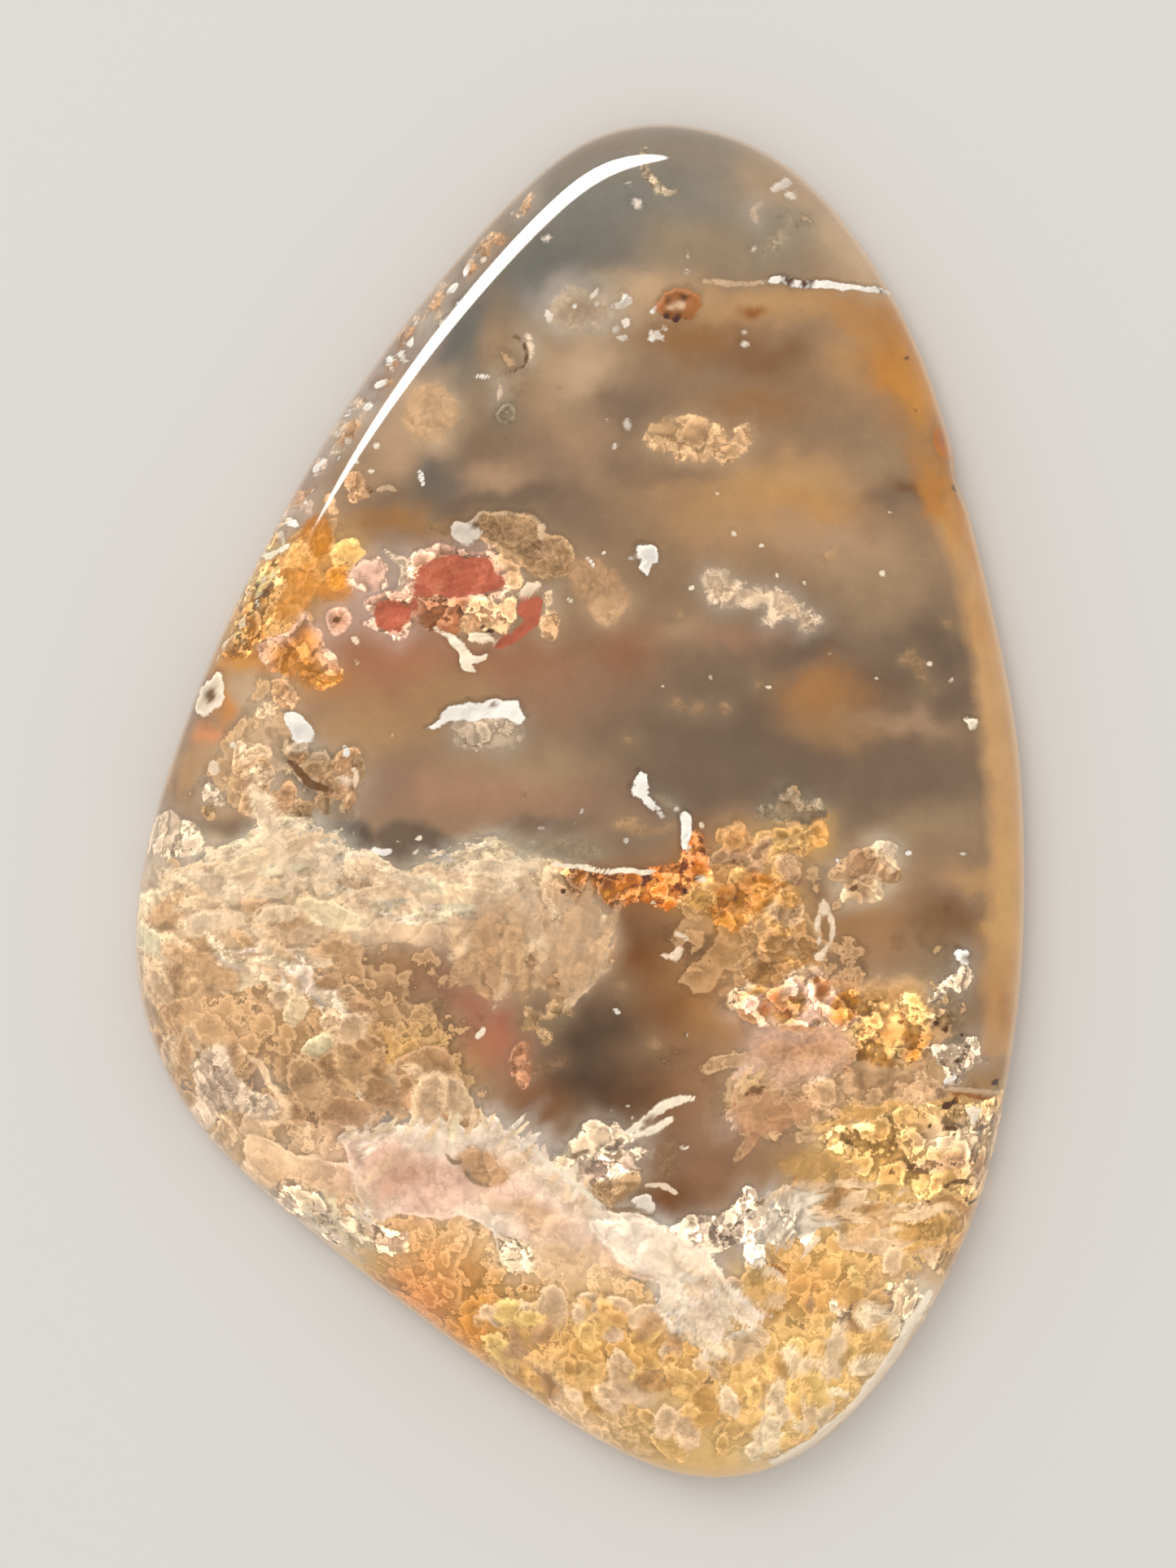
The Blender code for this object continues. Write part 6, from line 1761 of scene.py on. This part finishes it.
@dataclass(frozen=True)
class AgateFinish:
    """Polished agate: the painted sheets one over another, under a clear polish."""

    roughness: float = 0.06
    refraction: float = 1.54
    richness: float = 1.05
    sheen: float = 0.035
    lift: float = 1.07
    frill_size: float = 0.40
    # Lumps and broad swells are painted lighter on the side towards the lamp and darker on the far side,
    # held between most_lit and least_lit.
    lump_size: float = 0.8
    lump_strength: float = 0.5
    most_lit: float = 0.32
    least_lit: float = -0.42
    crease_size: float = 1.5
    warmth: tuple[float, float, float] = (1.02, 0.90, 0.75)
    plume_warmth: tuple[float, float, float] = (1.16, 1.01, 0.86)
    lobe_shading: float = 0.62
    ruffle_sizes: tuple[float, ...] = (2.6, 1.1)
    # The broad swells' painted light and shade.
    broad_size: float = 2.4
    broad_strength: float = 0.9
    cell_size: float = 0.46
    glow_heights: tuple[float, float] = (1.35, 2.15)
    glow_amount: float = 0.6
    glow_colour: tuple[float, float, float, float] = (0.86, 0.62, 0.42, 1.0)
    darkest: tuple[float, float, float] = (0.006, 0.004, 0.003)
    body_edge: tuple[float, float] = (-0.6, 0.6)
    seam_edge: tuple[float, float] = (-3.6, -0.3)
    seam_shade_strength: float = 0.4
    seam_shade_colour: tuple[float, float, float, float] = (0.02, 0.012, 0.008, 1.0)
    rim_rise: tuple[float, float] = (-0.2, 0.5)
    rim_fall: tuple[float, float] = (0.8, 2.6)
    rim_gain: float = 1.34
    rim_light: tuple[float, float, float] = (0.16, 0.13, 0.09)
    crease_spread: tuple[float, float] = (0.5, 0.58)
    crease_edge: tuple[float, float] = (0.004, 0.022)
    crease_shade: float = 0.6
    lip_offset: float = 0.032
    lip_light: float = 0.22
    lobe_height: float = 0.52
    lobe_steepness: float = 11.0
    lobe_bend: float = 1.5
    most_cover: float = 7.0
    least_cover: float = -6.0
    cell_bend: float = 1.1
    wall_edge: tuple[float, float] = (0.02, 0.13)
    wall_light: float = 0.34
    middle_edge: tuple[float, float] = (0.14, 0.42)
    middle_dark: float = 0.20
    mist_size: float = 1.5
    grain_size: float = 0.14
    lamp_step: tuple[float, float, float] = (-0.030, 0.045, 0.03)
    lamp_way: tuple[float, float, float] = (-0.55, 0.78, 0.3)
    tissue_layers: tuple[tuple[float, float, float, float], ...] = (
        (2.2, -0.04, 1.00, 0.60), (1.3, 0.06, 1.08, 0.65), (0.8, 0.20, 1.16, 0.75))

    def noise(self, wire: Wiring, place: Socket, size: float, detail: float, rough: float) -> Socket:
        """Return noise from about -1 to 1 with features of a size in millimetres."""
        made = wire.noise(place, 1.0 / size, Detail=detail, Roughness=rough)
        return wire.math("MULTIPLY_ADD", made.outputs[0], 2.0, -1.0)

    def lump_group(self) -> bpy.types.NodeTree:
        """Build the group that tells how much a lumpy body turns towards the lamp.

        Returns:
            The group.
        """
        wire, given = Wiring.group("plume_lumps", {"Place": "Vector", "Size": "Float"}, {"Lit": "Float"})
        frequency = wire.math("DIVIDE", 1.0, given["Size"])
        spots = (given["Place"], wire.vector_math("ADD", given["Place"], self.lamp_step))
        heights = [wire.noise(spot, frequency, Detail=2.5, Roughness=0.5).outputs[0] for spot in spots]
        return wire.result(Lit=wire.math("MULTIPLY", wire.math("SUBTRACT", *heights), 8.0))

    def sheet_group(self) -> bpy.types.NodeTree:
        """Build the group that lays one painted sheet over what is under it, with painted shade just outside
        its edge, a pale rim inside its edge that is partly a painted highlight, and painted light and shade
        on its body.

        Returns:
            The group.
        """
        values = ("Cover", "Rim", "Shade", "Frill", "Relief", "Solid")
        wire, given = Wiring.group(
            "sheet_over", {"Under": "Color", "Body": "Color", **dict.fromkeys(values, "Float")},
            {"Colour": "Color"})
        q = wire.math("ADD", given["Cover"], given["Frill"])
        mask = wire.math("MULTIPLY", wire.ramp(q, *self.body_edge), given["Solid"])
        # Painted shade on what lies just outside the body's edge.
        dark = wire.math("MULTIPLY", wire.ramp(q, *self.seam_edge),
                         wire.math("MULTIPLY", given["Shade"], self.seam_shade_strength))
        under = wire.blend(wire.clamp(dark), given["Under"], self.seam_shade_colour)
        # Painted light and shade on the body.
        body = wire.scale(given["Body"], wire.math("ADD", 1.0, given["Relief"]))
        # A pale rim inside the edge, partly a painted highlight.
        band = wire.math("MULTIPLY", wire.ramp(q, *self.rim_rise),
                         wire.math("SUBTRACT", 1.0, wire.ramp(q, *self.rim_fall)))
        bright = wire.vector_math("ADD", wire.scale(given["Body"], self.rim_gain), self.rim_light)
        body = wire.blend(wire.clamp(wire.math("MULTIPLY", band, given["Rim"])), body, bright)
        return wire.result(Colour=wire.blend(mask, under, body))

    def crease_group(self) -> bpy.types.NodeTree:
        """Build the group that draws thin creases in painted shade, each with a painted highlight on a lip
        beside it.

        Returns:
            The group.
        """
        wire, given = Wiring.group("thin_creases", {"Place": "Vector", "Size": "Float", "Amount": "Float"},
                                   {"Light": "Float"})
        frequency = wire.math("DIVIDE", 1.0, given["Size"])
        paths = wire.noise(given["Place"], frequency, Detail=4.0, Roughness=0.6, Distortion=0.8)
        spread = wire.noise(given["Place"], wire.math("MULTIPLY", frequency, 0.8))
        level = wire.math("SUBTRACT", paths.outputs[0], 0.5)
        shown = wire.math("MULTIPLY", wire.ramp(spread.outputs[0], *self.crease_spread), given["Amount"])
        dark = wire.math("SUBTRACT", 1.0, wire.ramp(wire.math("ABSOLUTE", level), *self.crease_edge))
        beside = wire.math("ABSOLUTE", wire.math("SUBTRACT", level, self.lip_offset))
        lip = wire.math("SUBTRACT", 1.0, wire.ramp(beside, *self.crease_edge))
        # Painted shade in the crease and a painted highlight on its lip.
        change = wire.math("ADD", wire.math("MULTIPLY", dark, -self.crease_shade),
                           wire.math("MULTIPLY", lip, self.lip_light))
        return wire.result(Light=wire.math("MULTIPLY_ADD", change, shown, 1.0))

    def lobe_group(self) -> bpy.types.NodeTree:
        """Build the group that grows lobed, overlapping tissue where a density allows it.

        Returns:
            The group.
        """
        wire, given = Wiring.group("tissue_lobes", {"Place": "Vector", "Size": "Float", "Density": "Float"},
                                   {"Cover": "Float", "Tone": "Float", "Lit": "Float"})
        frequency = wire.math("DIVIDE", 1.0, given["Size"])
        drift = wire.noise(given["Place"], wire.math("MULTIPLY", frequency, 1.3), Detail=4.0, Roughness=0.62)
        bend = wire.vector_math("SUBTRACT", drift.outputs["Color"], (0.5, 0.5, 0.5))
        push = wire.scale(bend, wire.math("MULTIPLY", given["Size"], self.lobe_bend))
        spot = wire.vector_math("ADD", given["Place"], push)
        lobes = wire.node("ShaderNodeTexVoronoi", {"Vector": spot, "Scale": frequency}).outputs
        height = wire.math("SUBTRACT", self.lobe_height, lobes["Distance"])
        height = wire.math("ADD", height, wire.math("MULTIPLY_ADD", drift.outputs[0], 1.6, -0.8))
        allowed = wire.math("MULTIPLY_ADD", given["Density"], 1.7, -1.05)
        cover = wire.math("MULTIPLY", wire.math("ADD", height, allowed), self.lobe_steepness)
        cover = wire.math("MAXIMUM", wire.math("MINIMUM", cover, self.most_cover), self.least_cover)
        # Lit: how far the point lies towards the lamp side of its lobe, for painted light and shade on each
        # lobe.
        middle = wire.vector_math("SUBTRACT", spot, lobes["Position"])
        off = wire.vector_math("DOT_PRODUCT", middle, self.lamp_way)
        return wire.result(Cover=cover, Tone=wire.math("MULTIPLY_ADD", lobes["Distance"], 0.34, 0.84),
                           Lit=wire.math("DIVIDE", off, given["Size"]))

    def cell_lines(self, wire: Wiring, place: Socket, share: Socket, colour: Socket) -> Socket:
        """Draw the pale walls and darker middles of cells over a colour.

        Args:
            wire: the material's wiring.
            place: where the shaded point lies, in millimetres.
            share: how much of the cells shows, from 0 to 1.
            colour: the colour to draw them on.

        Returns:
            The colour with the cells.
        """
        drift = wire.noise(place, 1.4, Detail=2.0)
        bend = wire.vector_math("SUBTRACT", drift.outputs["Color"], (0.5, 0.5, 0.5))
        spot = wire.vector_math("ADD", place, wire.scale(bend, self.cell_bend))
        walls = wire.node("ShaderNodeTexVoronoi", {"Vector": spot, "Scale": 1.0 / self.cell_size},
                          feature="DISTANCE_TO_EDGE")
        away = walls.outputs["Distance"]
        wall = wire.math("SUBTRACT", 1.0, wire.ramp(away, *self.wall_edge))
        middle = wire.ramp(away, *self.middle_edge)
        lit = wire.math("MULTIPLY_ADD", wall, self.wall_light, 1.0)
        lit = wire.math("MULTIPLY_ADD", middle, -self.middle_dark, lit)
        return wire.blend(wire.clamp(share), colour, wire.scale(colour, lit))

    def material(self) -> bpy.types.Material:
        """Build the stone's material.

        Returns:
            The material, which reads the mesh's painted sheets.
        """
        made = bpy.data.materials.new("polished_agate")
        made.use_nodes = True
        made.node_tree.nodes.clear()
        wire = Wiring(made.node_tree)
        place = wire.scale(wire.node("ShaderNodeTexCoord").outputs["Object"], 1.0 / MM)
        read = {name: wire.node("ShaderNodeAttribute", attribute_name=name).outputs
                for name in ("ground", "tissue", "plume", "crest", "edges", "feel", "solid")}
        rim_low, shade_low, rim_high = wire.separate(read["edges"]["Color"])
        frill_low, frill_high, cells = wire.separate(read["feel"]["Color"])
        rough = read["feel"]["Alpha"]

        mist = self.noise(wire, place, self.mist_size, 6.0, 0.62)
        grain = self.noise(wire, place, self.grain_size, 2.0, 0.6)
        light = wire.math("MULTIPLY_ADD", mist, 0.20, 1.0)
        light = wire.math("MULTIPLY_ADD", grain, 0.06, light)
        colour = wire.scale(read["ground"]["Color"], light)

        lumps = self.lump_group()
        sheet = self.sheet_group()
        lobes = self.lobe_group()
        tissue = wire.vector_math("MULTIPLY", read["tissue"]["Color"], self.warmth)
        # Each tissue layer: lobes with painted light and shade towards the lamp, pale rims partly painted as
        # highlights, and painted shade outside them.
        for turn, (size, less, bright, solid) in enumerate(self.tissue_layers):
            spot = wire.vector_math("ADD", place, (7.3 * turn, 3.1 * turn, 5.9 * turn))
            grown = wire.placed(lobes, Place=spot, Size=size,
                                Density=wire.math("SUBTRACT", read["tissue"]["Alpha"], less))
            shine = wire.math("MULTIPLY", grown["Tone"], bright)
            over = wire.placed(sheet, Under=colour, Body=wire.scale(tissue, shine), Cover=grown["Cover"],
                               Rim=0.7, Shade=0.5, Frill=0.0, Solid=solid,
                               Relief=wire.math("MULTIPLY", grown["Lit"], self.lobe_shading))
            colour = over["Colour"]
        fine = self.noise(wire, place, self.frill_size, 5.0, 0.66)
        body = wire.math("MULTIPLY_ADD", grain, 0.03, 1.0)
        body = wire.math("MULTIPLY_ADD", mist, 0.16, body)
        creases = wire.placed(self.crease_group(), Place=place, Size=self.crease_size,
                              Amount=wire.clamp(wire.math("MULTIPLY", rough, 2.0)))
        body = wire.math("MULTIPLY", body, creases["Light"])
        low = wire.scale(wire.vector_math("MULTIPLY", read["plume"]["Color"], self.plume_warmth), body)
        amount = wire.clamp(wire.math("MULTIPLY_ADD", rough, 1.4, 0.24))
        # Ruffles on the plume bodies, with the same painted light, rims and shade.
        for turn, size in enumerate(self.ruffle_sizes):
            spot = wire.vector_math("ADD", place, (3.7 * turn, 9.1, 4.3 * turn))
            grown = wire.placed(lobes, Place=spot, Size=size, Density=0.62)
            over = wire.placed(sheet, Under=low, Cover=grown["Cover"], Frill=0.0, Solid=amount,
                               Body=wire.scale(low, wire.math("MULTIPLY", grown["Tone"], 1.1)),
                               Rim=wire.math("MULTIPLY", amount, 1.1),
                               Shade=wire.math("MULTIPLY", amount, 1.4),
                               Relief=wire.math("MULTIPLY", grown["Lit"], 0.75))
            low = over["Colour"]
        low = self.cell_lines(wire, place, cells, low)
        # Broad swells and small lumps painted lighter towards the lamp and darker away from it.
        turned = wire.placed(lumps, Place=place, Size=self.broad_size)
        broad = wire.math("MULTIPLY", turned["Lit"], self.broad_strength)
        solid_low, solid_high, _ = wire.separate(read["solid"]["Color"])
        for name, paint, rim, shade, frill, solid, size, gain in (
                ("plume", low, rim_low, shade_low, frill_low, solid_low, self.lump_size, 1.0),
                ("crest", read["crest"]["Color"], rim_high, read["edges"]["Alpha"], frill_high,
                 solid_high, self.lump_size * 0.6, 0.7)):
            turned = wire.placed(lumps, Place=place, Size=size)
            strength = wire.math("MULTIPLY", rough, self.lump_strength * gain)
            relief_shading = wire.math("ADD", wire.math("MULTIPLY", turned["Lit"], strength), broad)
            relief_shading = wire.math("MAXIMUM", wire.math("MINIMUM", relief_shading, self.most_lit), self.least_lit)
            over = wire.placed(sheet, Under=colour, Body=paint, Cover=read[name]["Alpha"], Rim=rim,
                               Shade=shade, Frill=wire.math("MULTIPLY", fine, frill), Relief=relief_shading,
                               Solid=solid)
            colour = over["Colour"]

        height = wire.separate(place)[2]
        glow = wire.math("SUBTRACT", 1.0, wire.ramp(height, *self.glow_heights))
        colour = wire.blend(wire.math("MULTIPLY", glow, self.glow_amount), colour, self.glow_colour)
        colour = wire.vector_math("SUBTRACT", colour, (self.sheen, self.sheen, self.sheen))
        colour = wire.scale(wire.vector_math("MAXIMUM", colour, self.darkest), self.lift)
        richer = wire.node("ShaderNodeHueSaturation", {"Saturation": self.richness, "Color": colour})
        shader = wire.node("ShaderNodeBsdfPrincipled", {"Roughness": self.roughness, "IOR": self.refraction,
                                                        "Base Color": richer.outputs["Color"]})
        wire.node("ShaderNodeOutputMaterial", {"Surface": shader.outputs[0]})
        return made


@dataclass
class Cabochon:
    """The whole object: one polished agate stone."""

    form: StoneForm = field(default_factory=StoneForm)
    finish: AgateFinish = field(default_factory=AgateFinish)
    markings: Markings = field(default_factory=Markings)

    def build(self) -> bpy.types.Object:
        """Build the stone, paint its markings and dress it.

        Returns:
            The finished stone.
        """
        stone = self.form.build(self.finish.material())
        count = len(stone.data.vertices)
        points = np.empty(count * 3, dtype=np.float32)
        stone.data.vertices.foreach_get("co", points)
        painter = Painter(points.reshape(-1, 3).astype(float) / MM)
        painter.paint(self.markings.build())
        painter.store(stone.data)
        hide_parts("cabochon")
        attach(stone, "root")
        return stone


@dataclass
class Studio:
    """A pale floor, soft light and a camera above the stone."""

    photo_height_mm: float = 58.06
    aim: tuple[float, float, float] = (0.354, 0.610, 0.8)
    camera_distance_mm: float = 220.0
    camera_lean: float = 3.5
    camera_lean_towards: float = -10.0
    sensor_mm: float = 36.0
    floor_reach_mm: float = 1500.0
    floor_colour: tuple[float, float, float, float] = (0.72, 0.71, 0.69, 1.0)
    room_colour: tuple[float, float, float, float] = (1.0, 0.98, 0.95, 1.0)
    room_strength: float = 0.82

    def floor(self) -> None:
        """Make the pale floor."""
        reach = self.floor_reach_mm * MM
        mesh = bpy.data.meshes.new("floor")
        corners = [(-reach, -reach, 0.0), (reach, -reach, 0.0), (reach, reach, 0.0), (-reach, reach, 0.0)]
        mesh.from_pydata(corners, [], [(0, 1, 2, 3)])
        floor = bpy.data.objects.new("floor", mesh)
        bpy.context.scene.collection.objects.link(floor)
        plain = bpy.data.materials.new("pale_floor")
        plain.use_nodes = True
        shader = plain.node_tree.nodes["Principled BSDF"]
        shader.inputs["Base Color"].default_value = self.floor_colour
        shader.inputs["Roughness"].default_value = 0.9
        mesh.materials.append(plain)

    def lamp(self, name: str, azimuth: float, elevation: float, distance_mm: float,
             size_mm: tuple[float, float], radiance: float, colour: tuple[float, float, float]) -> object:
        """Place one soft oval lamp that looks at the stone.

        Args:
            name: the lamp's name.
            azimuth: its direction from +X towards +Y, in degrees.
            elevation: its height above the floor, in degrees.
            distance_mm: how far it stands from the stone.
            size_mm: its width and height.
            radiance: how bright its face is.
            colour: the light's colour.

        Returns:
            The lamp.
        """
        data = bpy.data.lights.new(name, "AREA")
        data.shape = "ELLIPSE"
        data.size = size_mm[0] * MM
        data.size_y = size_mm[1] * MM
        area = math.pi * data.size * data.size_y / 4.0
        data.energy = radiance * area * math.pi
        data.color = colour
        made = bpy.data.objects.new(name, data)
        turn, rise = math.radians(azimuth), math.radians(elevation)
        way = Vector((math.cos(turn) * math.cos(rise), math.sin(turn) * math.cos(rise), math.sin(rise)))
        made.location = way * distance_mm * MM
        made.rotation_mode = "QUATERNION"
        made.rotation_quaternion = way.to_track_quat("Z", "Y")
        bpy.context.scene.collection.objects.link(made)
        return made

    def lights(self) -> None:
        """Light the stone from all round, with a long bright panel on the upper left."""
        world = bpy.data.worlds.new("soft_room")
        world.use_nodes = True
        soft = world.node_tree.nodes["Background"].inputs
        soft["Color"].default_value = self.room_colour
        soft["Strength"].default_value = self.room_strength
        bpy.context.scene.world = world
        key = self.lamp("key_lamp", 120.0, 55.0, 900.0, (500.0, 500.0), 3.0, (1.0, 0.98, 0.95))
        key.visible_glossy = False
        panel = self.lamp("window_panel", 120.0, 15.5, 900.0, (1040.0, 330.0), 18.0, (1.0, 0.99, 0.97))
        panel.visible_diffuse = False

    def camera(self) -> None:
        """Place the camera at the photograph's viewing angle."""
        data = bpy.data.cameras.new("camera")
        data.sensor_width = self.sensor_mm
        data.lens = self.sensor_mm * self.camera_distance_mm / self.photo_height_mm
        made = bpy.data.objects.new("camera", data)
        lean, towards = math.radians(self.camera_lean), math.radians(self.camera_lean_towards)
        back = Vector((math.sin(lean) * math.cos(towards), math.sin(lean) * math.sin(towards),
                       math.cos(lean)))
        right = Vector((0.0, 1.0, 0.0)).cross(back).normalized()
        turn = Matrix((right, back.cross(right), back)).transposed()
        place = (Vector(self.aim) + back * self.camera_distance_mm) * MM
        made.matrix_world = Matrix.Translation(place) @ turn.to_4x4()
        bpy.context.scene.collection.objects.link(made)
        bpy.context.scene.camera = made

    def build(self) -> None:
        """Build the stage round the stone."""
        self.floor()
        self.lights()
        self.camera()
        bpy.context.scene.view_settings.view_transform = "Standard"


def main() -> None:
    """Build the stone and its stage, and report each piece."""
    logging.basicConfig(level=logging.INFO)
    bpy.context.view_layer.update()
    stone = Cabochon().build()
    LOG.info("%s: %d faces", stone.name, len(stone.data.polygons))
    Studio().build()


if __name__ == "__main__":
    main()
